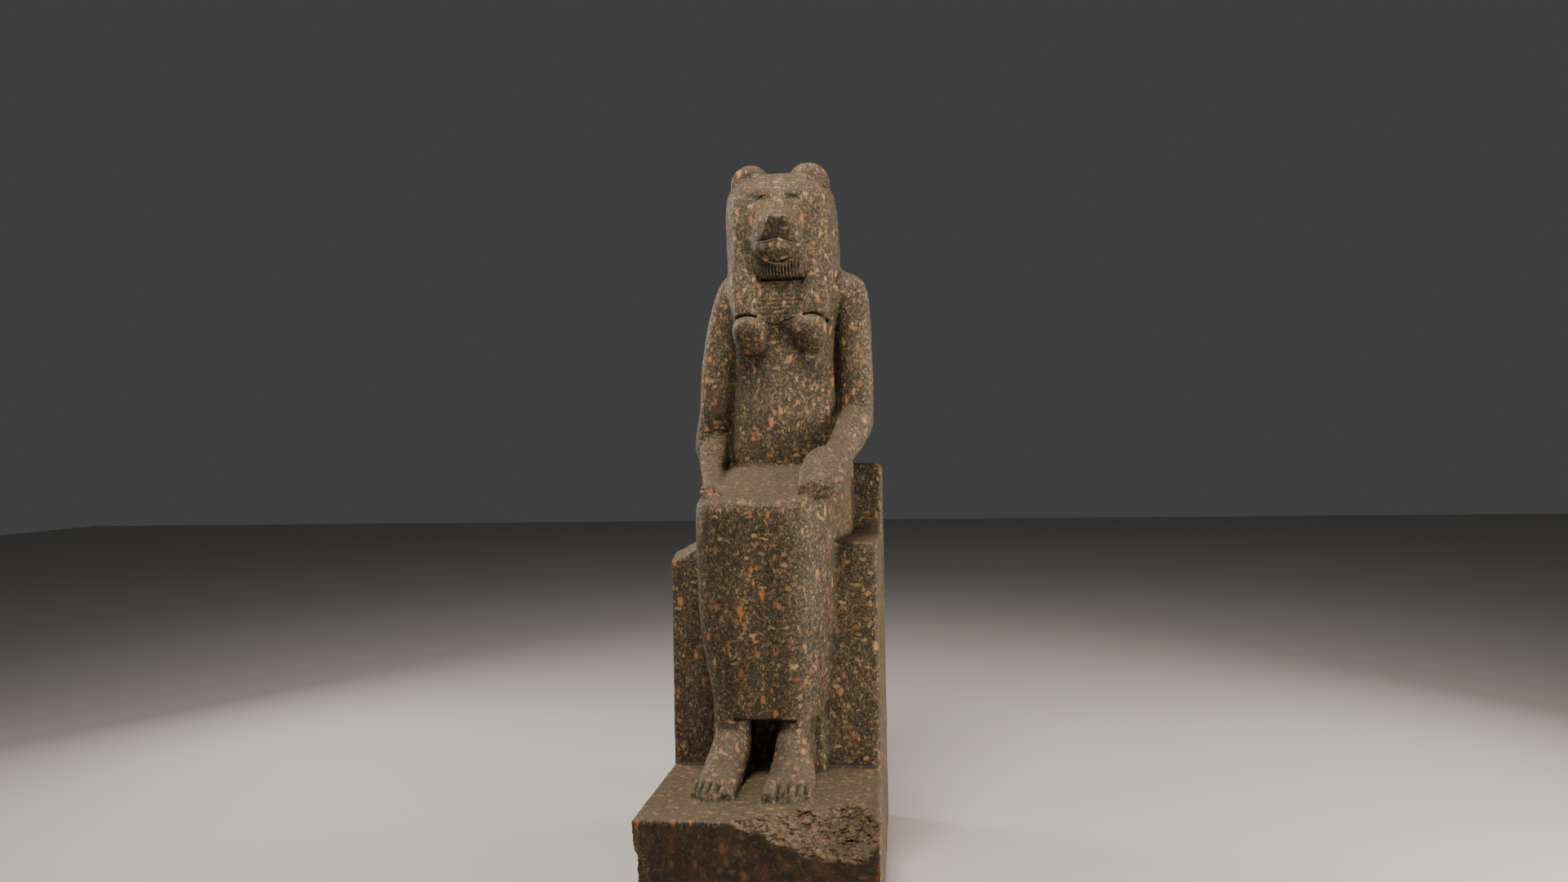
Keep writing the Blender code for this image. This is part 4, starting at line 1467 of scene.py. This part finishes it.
    def carve_ears(self, skin: Skin) -> None:
        """Hollows the ears, and cuts the notch under each and its edge behind the brow.

        Args:
            skin: the statue's surface.
        """
        skin.dent((-0.093, 0.160, self.ear + 0.014), (0.030, 0.03, 0.028), 0.0050)
        skin.dent((0.086, 0.160, self.ear + 0.014), (0.032, 0.03, 0.028), 0.0050)
        skin.draw(
            Line(((-0.1480, 1.6285), (-0.1330, 1.6270), (-0.1190, 1.6285)), 0.0028, 0.0050,
                 behind=0.24, fade=0.16),
            Line(((0.1180, 1.6350), (0.1300, 1.6330), (0.1470, 1.6335)), 0.0028, 0.0050,
                 behind=0.24, fade=0.16),
            Line(((-0.1161, 1.6300), (-0.0884, 1.6430), (-0.0687, 1.6625), (-0.0492, 1.6758)),
                 0.0040, 0.0022),
            Line(((0.1175, 1.6360), (0.1058, 1.6490), (0.0869, 1.6580), (0.0632, 1.6640), (0.0395, 1.6723)),
                 0.0040, 0.0022),
        )
        for x in (-0.108, -0.099, -0.090, -0.081, 0.076, 0.086, 0.096, 0.106):
            skin.draw(Line(((x, 1.645), (x * 0.97, 1.685)), 0.0022, 0.0010, fade=0.3))

    def carve_strands(self, skin: Skin) -> None:
        """Draws the hair: short locks on the fringe, fine ones down the lappets and the wig's back.

        Args:
            skin: the statue's surface.
        """
        which = skin.inside((-0.062, 0.02, self.fringe - 0.004), (0.082, 0.13, 1.46))
        across, _, up = skin.points[which].T
        rim = np.interp(across, *np.array(self.chin_path).T)
        below = (1 - ramp(-0.008, -0.004, up - rim)) * (1 - ramp(1.400, 1.415, up))
        lock = np.cos(2 * math.pi * across / self.fringe_pitch)
        skin.push(which, 0.0012 * lock * below * skin.facing(2)[which])
        which = skin.inside((-0.19, 0.05, self.lappet_end), (0.19, 0.45, 1.47))
        across, back, up = skin.points[which].T
        top = 1 - ramp(1.36, 1.46, up)
        wig = np.where(back < 0.2, np.abs(across - self.fringe_x) > 0.0605, back > 0.36)
        outer = 1 - ramp(0.142, 0.150, np.abs(across - 0.004))
        lock = np.cos(2 * math.pi * (across + 0.35 * back) / self.strand_pitch)
        level = np.clip(np.abs(skin.normals[which, 1]) * 1.5, 0, 1)
        skin.push(which, 0.0003 * lock * top * wig * outer * level)

    def carve_lappet_ends(self, skin: Skin) -> None:
        """Undercuts the ends of the lappets, the fringe and the seam beside the shoulder.

        Args:
            skin: the statue's surface.
        """
        skin.draw(
            Line(((-0.0560, 1.3600), (0.0060, 1.3585), (0.0700, 1.3600)), 0.0034, 0.0100,
                 behind=0.13, fade=0.06),
            Line(((-0.1330, 1.2440), (-0.1165, 1.2525), (-0.0998, 1.2566), (-0.0810, 1.2560),
                  (-0.0590, 1.2506)), 0.0036, 0.0160, behind=0.15, fade=0.10),
            Line(((0.0650, 1.2534), (0.0876, 1.2585), (0.1061, 1.2567), (0.1222, 1.2492), (0.1420, 1.2372)),
                 0.0036, 0.0160, behind=0.15, fade=0.10),
            Line(((0.1740, 1.3968), (0.1667, 1.3806), (0.1567, 1.3505), (0.1491, 1.3156), (0.1437, 1.2806)),
                 0.0036, 0.0026, behind=0.24),
        )


# ---------------------------------------------------------------- finish


class NodeBench:
    """Adds nodes to one material and wires their sockets."""

    def __init__(self, material: bpy.types.Material) -> None:
        """Opens a material's node tree.

        Args:
            material: the material, which gets nodes.
        """
        material.use_nodes = True
        self.tree = material.node_tree
        self.shader = self.tree.nodes["Principled BSDF"]

    def add(self, kind: str, inputs: dict[str | int, Value], **settings: object) -> bpy.types.Node:
        """Adds one node.

        Args:
            kind: the node's type without its ShaderNode.
            inputs: a constant or a socket for each named input.
            **settings: the node's own settings.

        Returns:
            The node.
        """
        node = self.tree.nodes.new("ShaderNode" + kind)
        for name, value in settings.items():
            setattr(node, name, value)
        for name, value in inputs.items():
            self.feed(node.inputs[name], value)
        return node

    def feed(self, socket: Socket, value: Value) -> None:
        """Sets a socket, or wires another one to it.

        Args:
            socket: the input.
            value: a constant, or the output that feeds it.
        """
        if isinstance(value, bpy.types.NodeSocket):
            self.tree.links.new(value, socket)
        else:
            socket.default_value = value

    def math(self, operation: str, first: Value, second: Value = 0.0, clamp: bool = False) -> Socket:
        """Adds a Math node and gives its result."""
        return self.add("Math", {0: first, 1: second}, operation=operation, use_clamp=clamp).outputs[0]

    def step(self, value: Value, low: float, high: float, ends: Spot = (0.0, 1.0)) -> Socket:
        """Turns a range of a value into another range, smoothly."""
        return self.add("MapRange", {
            "Value": value, "From Min": low, "From Max": high, "To Min": ends[0], "To Max": ends[1],
        }, interpolation_type="SMOOTHSTEP").outputs[0]

    def mix(self, share: Value, first: Value, second: Value, blend: str = "MIX") -> Socket:
        """Mixes two colours."""
        node = self.add("Mix", {0: share, 6: first, 7: second}, data_type="RGBA", blend_type=blend)
        return node.outputs[2]

    def noise(self, place: Socket, scale: float, detail: float = 3.0, rough: float = 0.5) -> Socket:
        """Gives a grey noise."""
        return self.add("TexNoise", {
            "Vector": place, "Scale": scale, "Detail": detail, "Roughness": rough,
        }).outputs["Fac"]

    def colours(self, value: Value, stops: Sequence[tuple[float, Place]]) -> Socket:
        """Turns a value into a colour by a ramp.

        Args:
            value: the value, from 0 to 1.
            stops: a position and a colour for each stop of the ramp.

        Returns:
            The colour.
        """
        node = self.add("ValToRGB", {0: value})
        elements = node.color_ramp.elements
        while len(elements) < len(stops):
            elements.new(0.5)
        for element, (position, colour) in zip(elements, stops):
            element.position = position
            element.color = (*colour, 1)
        return node.outputs[0]

    def attribute(self, name: str) -> Socket:
        """Reads one of the piece's own values."""
        return self.add("Attribute", {}, attribute_name=name).outputs["Fac"]


@dataclass(frozen=True)
class Fleck:
    """A family of feldspar grains in the stone.

    Cells are per metre, radius is in cells from the smallest to the largest grain, and share is the part of
    the cells that stays empty.
    """

    cells: float
    turn: Place
    stretch: Place
    radius: Spot
    share: float
    strength: float
    colours: tuple[tuple[float, Place], ...]


@dataclass(frozen=True)
class Granodiorite:
    """Dark stone with orange, ochre and tan feldspar."""

    orange: tuple[tuple[float, Place], ...] = (
        (0.00, (0.440, 0.150, 0.055)), (0.35, (0.500, 0.205, 0.080)), (0.60, (0.410, 0.210, 0.088)),
        (0.80, (0.320, 0.105, 0.042)), (1.00, (0.480, 0.262, 0.115)),
    )
    ochre: tuple[tuple[float, Place], ...] = (
        (0.00, (0.275, 0.170, 0.070)), (0.35, (0.430, 0.295, 0.145)), (0.65, (0.215, 0.130, 0.055)),
        (0.85, (0.270, 0.110, 0.045)), (1.00, (0.520, 0.380, 0.205)),
    )
    matrix: tuple[tuple[float, Place], ...] = (
        (0.28, (0.022, 0.017, 0.012)), (0.40, (0.040, 0.031, 0.021)), (0.50, (0.068, 0.051, 0.032)),
        (0.60, (0.112, 0.083, 0.050)), (0.74, (0.185, 0.137, 0.080)),
    )
    dust: Colour = (0.102, 0.078, 0.052, 1)
    # near-black colour for painted shade in hollows and creases and on the front of the snout, and for the
    # darker eyes
    painted_shade: Colour = (0.014, 0.011, 0.008, 1)
    rubbed: Colour = (0.250, 0.185, 0.115, 1)
    fresh: tuple[Colour, Colour] = ((0.045, 0.030, 0.019, 1), (0.235, 0.150, 0.088, 1))
    rust: tuple[Colour, Colour] = ((0.020, 0.013, 0.009, 1), (0.068, 0.028, 0.013, 1))

    def flecks(self) -> Iterator[Fleck]:
        """Gives the families of grains, the finest first.

        Yields:
            Each family.
        """
        yield Fleck(210.0, (0.5, 0.9, 0.2), (1.0, 0.9, 0.55), (0.18, 0.58), 0.50, 0.42, self.ochre)
        yield Fleck(130.0, (1.1, 0.2, 0.7), (1.0, 0.8, 0.50), (0.16, 0.54), 0.60, 0.54, self.ochre)
        yield Fleck(76.0, (0.3, 1.1, 0.2), (0.50, 1.0, 1.0), (0.12, 0.46), 0.68, 0.66, self.ochre)
        yield Fleck(66.0, (0.3, 0.6, 1.3), (1.0, 0.8, 0.50), (0.16, 0.44), 0.87, 0.72, self.orange)
        yield Fleck(43.0, (1.3, 0.9, 0.5), (1.0, 0.9, 0.50), (0.12, 0.38), 0.84, 0.82, self.orange)

    def fleck(self, bench: NodeBench, place: Socket, kind: Fleck) -> tuple[Socket, Socket]:
        """Scatters one family of grains.

        Args:
            bench: the material's nodes.
            place: the coordinates, already made uneven.
            kind: the family.

        Returns:
            Where the grains are, from 0 to 1, and their colour.
        """
        turned = bench.add("Mapping", {"Vector": place, "Rotation": kind.turn, "Scale": kind.stretch})
        cell = bench.add("TexVoronoi", {"Vector": turned.outputs[0], "Scale": kind.cells})
        parts = bench.add("SeparateColor", {0: cell.outputs["Color"]})
        reach = bench.step(parts.outputs[0], 0.0, 1.0, kind.radius)
        here = bench.step(bench.math("SUBTRACT", reach, cell.outputs["Distance"]), -0.08, 0.14)
        chosen = bench.step(parts.outputs[1], kind.share - 0.02, kind.share + 0.02)
        where = bench.math("MULTIPLY", bench.math("MULTIPLY", here, chosen), kind.strength)
        return where, bench.colours(parts.outputs[2], kind.colours)

    def uneven(self, bench: NodeBench, place: Socket, scale: float, reach: float) -> Socket:
        """Moves coordinates about, so that grains have ragged edges.

        Args:
            bench: the material's nodes.
            place: the coordinates.
            scale: how fine the moves are.
            reach: how far they go.

        Returns:
            The moved coordinates.
        """
        swirl = bench.add("TexNoise", {"Vector": place, "Scale": scale, "Detail": 3.0}).outputs["Color"]
        offset = bench.add("VectorMath", {0: swirl, 1: (0.5, 0.5, 0.5)}, operation="SUBTRACT").outputs[0]
        offset = bench.add("VectorMath", {0: offset, "Scale": 2 * reach}, operation="SCALE").outputs[0]
        return bench.add("VectorMath", {0: place, 1: offset}, operation="ADD").outputs[0]

    def material(self) -> bpy.types.Material:
        """Builds the stone.

        Returns:
            The material.
        """
        material = bpy.data.materials.new("granodiorite")
        bench = NodeBench(material)
        place = bench.add("TexCoord", {}).outputs["Object"]
        uneven = self.uneven(bench, self.uneven(bench, place, 45.0, 0.008), 210.0, 0.0030)
        colour, relief = self.ground(bench, place, uneven)
        speck = bench.noise(place, 380.0, 3.0, 0.7)
        for kind in self.flecks():
            where, tint = self.fleck(bench, uneven, kind)
            colour = bench.mix(where, colour, tint)
        shade = bench.step(speck, 0.32, 0.68, (0.70, 1.22))
        grey = bench.add("CombineColor", {0: shade, 1: shade, 2: shade}).outputs[0]
        colour = bench.mix(1.0, colour, grey, "MULTIPLY")
        colour = self.weathered(bench, place, colour)
        broken = bench.attribute("broken")
        fine = bench.noise(place, 640.0, 5.0, 0.65)
        bench.feed(bench.shader.inputs["Base Color"], colour)
        gloss = bench.step(fine, 0.25, 0.75, (0.50, 0.74))
        gloss = bench.math("ADD", gloss, bench.math("MULTIPLY", broken, 0.18), clamp=True)
        bench.feed(bench.shader.inputs["Roughness"], gloss)
        height = bench.math("ADD", bench.math("MULTIPLY", fine, 0.5), bench.math("MULTIPLY", relief, 0.5))
        bump = bench.add("Bump", {"Strength": 0.40, "Distance": 0.0018, "Height": height})
        bench.feed(bench.shader.inputs["Normal"], bump.outputs[0])
        bench.shader.inputs["Specular IOR Level"].default_value = 0.22
        return material

    def ground(self, bench: NodeBench, place: Socket, uneven: Socket) -> tuple[Socket, Socket]:
        """Makes the dark mottled matrix.

        Args:
            bench: the material's nodes.
            place: the piece's own coordinates.
            uneven: the same, moved about so that grains have ragged edges.

        Returns:
            Its colour and its relief.
        """
        small = bench.add("TexVoronoi", {"Vector": uneven, "Scale": 300.0})
        large = bench.add("TexVoronoi", {"Vector": uneven, "Scale": 150.0})
        one = bench.add("SeparateColor", {0: small.outputs["Color"]}).outputs[0]
        two = bench.add("SeparateColor", {0: large.outputs["Color"]}).outputs[0]
        mottle = bench.noise(uneven, 200.0, 4.0, 0.70)
        tone = bench.math("ADD", bench.math("MULTIPLY", one, 0.20), bench.math("MULTIPLY", two, 0.17))
        tone = bench.math("ADD", tone, bench.math("MULTIPLY", mottle, 0.56))
        cloud = bench.noise(place, 7.0, 3.0, 0.55)
        tone = bench.math("ADD", tone, bench.step(cloud, 0.30, 0.70, (-0.03, 0.04)))
        return bench.colours(tone, self.matrix), tone

    def weathered(self, bench: NodeBench, place: Socket, colour: Socket) -> Socket:
        """Adds dust, fresh breaks, painted shade in the hollows and on the front of the snout, darker eyes,
        and the brown stain low on the slab.

        Args:
            bench: the material's nodes.
            place: the piece's own coordinates.
            colour: the clean stone.

        Returns:
            The aged stone.
        """
        cloud = bench.noise(place, 26.0, 4.0, 0.6)
        dust = bench.math("MULTIPLY", bench.attribute("dust"), bench.step(cloud, 0.25, 0.75, (0.36, 0.66)))
        colour = bench.mix(dust, colour, self.dust)
        crags = bench.noise(place, 90.0, 5.0, 0.70)
        pale = bench.mix(bench.step(crags, 0.38, 0.66), *self.fresh)
        broken = bench.math("MULTIPLY", bench.attribute("broken"), bench.step(cloud, 0.3, 0.7, (0.35, 0.75)))
        colour = bench.mix(broken, colour, pale)
        # painted shade: hollows, creases, the eyes and the front of the snout darken towards near black
        hollow = bench.attribute("hollow")
        painted_shade = bench.math("MULTIPLY", bench.step(hollow, 0.05, 1.0), 0.75)
        colour = bench.mix(painted_shade, colour, self.painted_shade)
        worn = bench.math("MULTIPLY", bench.step(hollow, -0.05, -1.0), 0.35)
        colour = bench.mix(worn, colour, self.rubbed)
        rust = bench.mix(bench.step(cloud, 0.42, 0.66), *self.rust)
        return bench.mix(bench.math("MULTIPLY", bench.attribute("stain"), 0.78), colour, rust)


# ---------------------------------------------------------------- the whole statue


@dataclass
class Statue:
    """All the forms as one stone, carved and dressed."""

    block: Block = field(default_factory=Block)
    dress: Dress = field(default_factory=Dress)
    body: Body = field(default_factory=Body)
    whole_arm: WholeArm = field(default_factory=WholeArm)
    broken_arm: BrokenArm = field(default_factory=BrokenArm)
    feet: Feet = field(default_factory=Feet)
    head: Head = field(default_factory=Head)
    grain: float = 0.0032
    worked_off: float = 0.0012
    hollow_depth: float = 0.0011
    inset: float = 0.0002
    triangles: int = 196_000

    def parts(self) -> tuple[Dress | Body | WholeArm | BrokenArm | Feet | Head, ...]:
        """Gives every part of the figure."""
        return (self.dress, self.body, self.whole_arm, self.broken_arm, self.feet, self.head)

    def joined(self) -> bpy.types.Mesh:
        """Runs block and figure into one skin.

        Returns:
            The stone before it is worked smooth.
        """
        shells = [form for part in self.parts() for form in part.forms()]
        LOG.info("figure: %d rough forms", len(shells))
        block = bmesh.new()
        cut = self.block.broken()
        block.from_mesh(cut)
        bpy.data.meshes.remove(cut)
        rough = mesh_of("rough", [block, self.block.pillar(), *shells])
        return worked(rough, "REMESH", mode="VOXEL", voxel_size=self.grain)

    def smoothed(self, skin: Skin) -> None:
        """Works the stone smooth, more on the round forms than at their crisp edges.

        Args:
            skin: the statue's surface.
        """
        points = skin.points
        skin.soften(np.ones(len(points)), 5)
        toes = Zone((-0.24, -0.36, -0.05), (0.15, -0.21, 0.05))
        fringe = Zone((-0.062, 0.0, 1.33), (0.078, 0.12, 1.385), 0.012)
        lappets = Zone((-0.13, 0.0, 1.26), (0.14, 0.115, 1.36), 0.012)
        hem = Zone((-0.20, -0.16, 0.13), (0.14, 0.02, 0.175), 0.012)
        hand = Zone((0.06, -0.17, 0.70), (0.22, 0.0, 0.86))
        snout = Zone((-0.075, -0.03, 1.385), (0.095, 0.065, 1.560), 0.012)
        ears = Zone((-0.30, 0.150, 1.62), (0.30, 0.30, 1.80), 0.012)
        figure = Zone((-0.30, -0.24, 0.03), (0.30, 0.42, 1.75))
        throne = Zone((-0.35, 0.01, -0.4), (0.35, 0.60, 0.62), 0.01)
        crest = Zone((-0.35, 0.32, 0.5), (0.35, 0.60, 0.86), 0.01)
        crisp = np.zeros(len(points))
        for zone, amount in ((toes, 1.0), (fringe, 0.9), (lappets, 0.2), (hem, 0.8), (hand, 0.75),
                             (snout, 0.8), (ears, 0.9), (throne, 1.0), (crest, 1.0)):
            crisp = np.maximum(crisp, amount * zone.share(points))
        skin.soften(figure.share(points) * (1 - crisp), 26)
        cheeks = Zone((-0.20, 0.045, 1.40), (0.20, 0.24, 1.70), 0.025).share(points)
        centre = Zone((-0.085, -0.1, 1.36), (0.10, 0.08, 1.66), 0.02).share(points)
        skin.soften(cheeks * (1 - centre) * (1 - ears.share(points)), 90)
        knees = Zone((-0.21, -0.22, 0.700), (0.15, -0.130, 0.765), 0.02).share(points)
        skin.soften(knees * (1 - hand.share(points)), 60)
        LOG.info("worked smooth")

    def refined(self, mesh: bpy.types.Mesh) -> bpy.types.Mesh:
        """Gives the carved places four faces for each one.

        Args:
            mesh: the smooth stone.

        Returns:
            The same mesh with finer places.
        """
        bm = bmesh.new()
        bm.from_mesh(mesh)
        places = np.array([v.co for v in bm.verts])
        fine = self.fine_share(places) > 0.5
        edges = [e for e in bm.edges if fine[e.verts[0].index] and fine[e.verts[1].index]]
        bmesh.ops.subdivide_edges(bm, edges=edges, cuts=1, use_grid_fill=True)
        bm.to_mesh(mesh)
        bm.free()
        return mesh

    def fine_share(self, points: np.ndarray) -> np.ndarray:
        """Says where the stone carries fine carving or a rough break."""
        zones = (
            Zone((-0.20, -0.10, 1.23), (0.20, 0.19, 1.75), 0.01),
            Zone((-0.25, -0.34, -0.01), (0.16, -0.12, 0.12), 0.01),
            Zone((0.06, -0.18, 0.70), (0.22, 0.05, 0.89), 0.01),
            Zone((-0.22, -0.17, 0.73), (-0.12, -0.06, 0.80), 0.01),
            Zone((-0.30, -0.05, 0.82), (-0.15, 0.22, 0.98), 0.01),
            Zone((-0.13, -0.47, -0.12), (0.31, -0.28, 0.02), 0.01),
            Zone((-0.32, -0.47, -0.31), (-0.24, -0.36, 0.02), 0.01),
        )
        return np.max([zone.share(points) for zone in zones], axis=0)

    def carved(self, mesh: bpy.types.Mesh) -> bpy.types.Mesh:
        """Carves every part, and leaves the dressed faces slightly uneven.

        Args:
            mesh: the smooth stone with its fine places.

        Returns:
            The same mesh, with values for the finish on its points.
        """
        skin = Skin(mesh)
        skin.soften(self.fine_share(skin.points), 2)
        skin.settle()
        broken = self.block.break_share(skin.points)
        self.block.carve(skin, broken)
        for part in self.parts():
            part.carve(skin)
            skin.settle()
            LOG.info("%s: carved", type(part).__name__)
        calm = 1 - broken
        broad, close = LatticeNoise(0.090, 41).at(skin.points), LatticeNoise(0.028, 42).at(skin.points)
        skin.push(np.arange(len(calm)), calm * (0.0010 * broad + 0.0005 * close - self.worked_off))
        self.flat_bottom(skin)
        self.note_finish(skin, broken)
        return mesh

    def flat_bottom(self, skin: Skin) -> None:
        """Puts the underside on its plane and keeps the stone inside the CAD's box.

        Args:
            skin: the statue's surface.
        """
        floor = -self.block.slab_height
        low, high = (np.array(corner) - np.array(self.block.shift()) for corner in CAD_BOX)
        skin.points = np.clip(skin.points, low + (self.inset, self.inset, 0), high - self.inset)
        skin.points[skin.points[:, 2] < floor + 0.0022, 2] = floor
        skin.settle()

    def note_finish(self, skin: Skin, broken: np.ndarray) -> None:
        """Writes on each point how dusty, broken, hollow and stained the stone is there; the hollow value
        also carries the darker eyes and the front of the snout, and drives the painted shade.

        Args:
            skin: the carved surface.
            broken: how far each point lies on a break of the block.
        """
        points = skin.points.copy()
        skin.soften(np.ones(len(points)), 10)
        hollow = ((skin.points - points) * skin.normals).sum(axis=1) / self.hollow_depth
        skin.points = points
        elbow = self.broken_arm.elbow_zone().share(points) * skin.facing(self.broken_arm.front_gain)
        fingers = self.whole_arm.break_zone().share(points)
        fist = self.broken_arm.fist_zone().share(points)
        low = 1 - ramp(-0.018, 0.0, points[:, 2])
        slab = (points[:, 1] < self.block.slab_front + 0.03) * skin.facing(2, 0.6) * low * (1 - broken)
        values = {
            "dust": np.clip(skin.normals[:, 2] * 1.5 - 0.35, 0, 1),
            "broken": np.maximum(broken, np.maximum(0.45 * elbow, 0.25 * np.maximum(fist, fingers))),
            # the hollows, the darker eyes and the snout's front share this value, which the stone turns into
            # painted shade
            "hollow": np.clip(np.maximum(hollow, self.head.darkness(skin)), -1, 1),
            "stain": slab,
        }
        for name, value in values.items():
            layer = skin.mesh.attributes.new(name, "FLOAT", "POINT")
            layer.data.foreach_set("value", value.astype(np.float32))

    def thinned(self, mesh: bpy.types.Mesh) -> bpy.types.Mesh:
        """Leaves fewer triangles on the plain faces than on the carving, and nothing outside the CAD's box.

        Args:
            mesh: the carved stone.

        Returns:
            The stone with the number of triangles asked for.
        """
        count = triangle_count(mesh)
        LOG.info("carved stone: %d triangles", count)
        thin = worked(mesh, "DECIMATE", ratio=self.triangles / count)
        self.flat_bottom(Skin(thin))
        return thin

    def build(self) -> bpy.types.Object:
        """Makes the finished stone.

        Returns:
            The piece, in the row frame.
        """
        mesh = self.joined()
        LOG.info("one skin: %d points", len(mesh.vertices))
        skin = Skin(mesh)
        self.smoothed(skin)
        skin.settle()
        mesh = self.carved(self.refined(mesh))
        mesh = self.thinned(mesh)
        mesh.transform(Matrix.Translation(self.block.shift()))
        mesh.name = "statue_stone"
        mesh.materials.clear()
        mesh.materials.append(Granodiorite().material())
        mesh.shade_smooth()
        piece = bpy.data.objects.new("statue_stone", mesh)
        bpy.context.scene.collection.objects.link(piece)
        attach(piece, "root")
        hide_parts("statue")
        LOG.info("statue_stone: %d triangles", triangle_count(mesh))
        return piece


# ---------------------------------------------------------------- studio and camera


@dataclass(frozen=True)
class Softbox:
    """A square soft light."""

    name: str
    place: Place
    target: Place
    size: Spot
    power: float
    colour: Place = (1.0, 1.0, 1.0)

    def hang(self) -> None:
        """Puts the light in the scene."""
        light = bpy.data.lights.new(self.name, "AREA")
        light.shape = "RECTANGLE"
        light.size, light.size_y = self.size
        light.energy = self.power
        light.color = self.colour
        lamp = bpy.data.objects.new(self.name, light)
        lamp.location = self.place
        lamp.rotation_euler = (Vector(self.target) - Vector(self.place)).to_track_quat("-Z", "Y").to_euler()
        bpy.context.scene.collection.objects.link(lamp)


@dataclass(frozen=True)
class Studio:
    """A plain pale floor and plain soft lights."""

    floor_half: float = 14.0
    floor_colour: Place = (0.48, 0.465, 0.44)
    air: float = 0.07
    air_colour: Place = (0.80, 0.80, 0.80)

    def lights(self) -> Iterator[Softbox]:
        """Gives the lights: one from above, one on each side and two rims behind.

        Yields:
            Each light.
        """
        chest = (0.0, 0.0, 1.3)
        yield Softbox("above", (-0.15, -1.35, 3.9), chest, (1.1, 1.1), 158.0, (1.0, 0.93, 0.84))
        yield Softbox("right", (3.2, -0.95, 0.85), (0.1, -0.1, 0.4), (1.0, 1.4), 128.0, (1.0, 0.93, 0.83))
        yield Softbox("left", (-3.0, -0.7, 2.8), chest, (1.2, 2.2), 38.0, (1.0, 0.95, 0.88))
        yield Softbox("right_rim", (2.6, 1.5, 2.2), chest, (0.8, 2.6), 45.0, (1.0, 0.93, 0.84))
        yield Softbox("left_rim", (-2.4, 1.3, 2.2), chest, (0.8, 2.6), 60.0, (1.0, 0.93, 0.84))

    def build(self) -> None:
        """Lays the floor, hangs the lights and sets the air."""
        bm = bmesh.new()
        bmesh.ops.create_grid(bm, x_segments=1, y_segments=1, size=self.floor_half)
        bmesh.ops.translate(bm, vec=(0, 0, -0.0005), verts=bm.verts)
        mesh = mesh_of("floor", [bm])
        paint = bpy.data.materials.new("pale_floor")
        paint.use_nodes = True
        shader = paint.node_tree.nodes["Principled BSDF"]
        shader.inputs["Base Color"].default_value = (*self.floor_colour, 1)
        shader.inputs["Roughness"].default_value = 0.9
        mesh.materials.append(paint)
        floor = bpy.data.objects.new("floor", mesh)
        bpy.context.scene.collection.objects.link(floor)
        for softbox in self.lights():
            softbox.hang()
        world = bpy.data.worlds.new("air")
        world.use_nodes = True
        background = world.node_tree.nodes["Background"]
        background.inputs["Color"].default_value = (*self.air_colour, 1)
        background.inputs["Strength"].default_value = self.air
        bpy.context.scene.world = world


@dataclass(frozen=True)
class Viewpoint:
    """The camera, where the photograph was taken from."""

    place: Place = (0.402, -2.918, 0.88)
    yaw: float = math.radians(7.43)
    pitch: float = math.radians(0.3)
    roll: float = math.radians(1.0)
    lens: float = 24.45
    sensor: float = 36.0

    def build(self, shift: Vector) -> None:
        """Puts the camera in the scene.

        Args:
            shift: the move from the carver's frame to the row frame.
        """
        ahead = Vector((
            -math.sin(self.yaw) * math.cos(self.pitch), math.cos(self.yaw) * math.cos(self.pitch),
            math.sin(self.pitch),
        ))
        right = Vector((math.cos(self.yaw), math.sin(self.yaw), 0))
        up = right.cross(ahead)
        across = math.cos(self.roll) * right - math.sin(self.roll) * up
        upward = math.sin(self.roll) * right + math.cos(self.roll) * up
        data = bpy.data.cameras.new("viewpoint")
        data.lens, data.sensor_width = self.lens, self.sensor
        camera = bpy.data.objects.new("viewpoint", data)
        turn = Matrix((across, upward, -ahead)).transposed().to_4x4()
        camera.matrix_world = Matrix.Translation(Vector(self.place) + shift) @ turn
        bpy.context.scene.collection.objects.link(camera)
        bpy.context.scene.camera = camera


def main() -> None:
    """Builds camera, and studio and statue."""
    logging.basicConfig(level=logging.INFO, format="%(relativeCreated)7d ms %(message)s")
    statue = Statue()
    Viewpoint().build(statue.block.shift())
    Studio().build()
    statue.build()


if __name__ == "__main__":
    main()
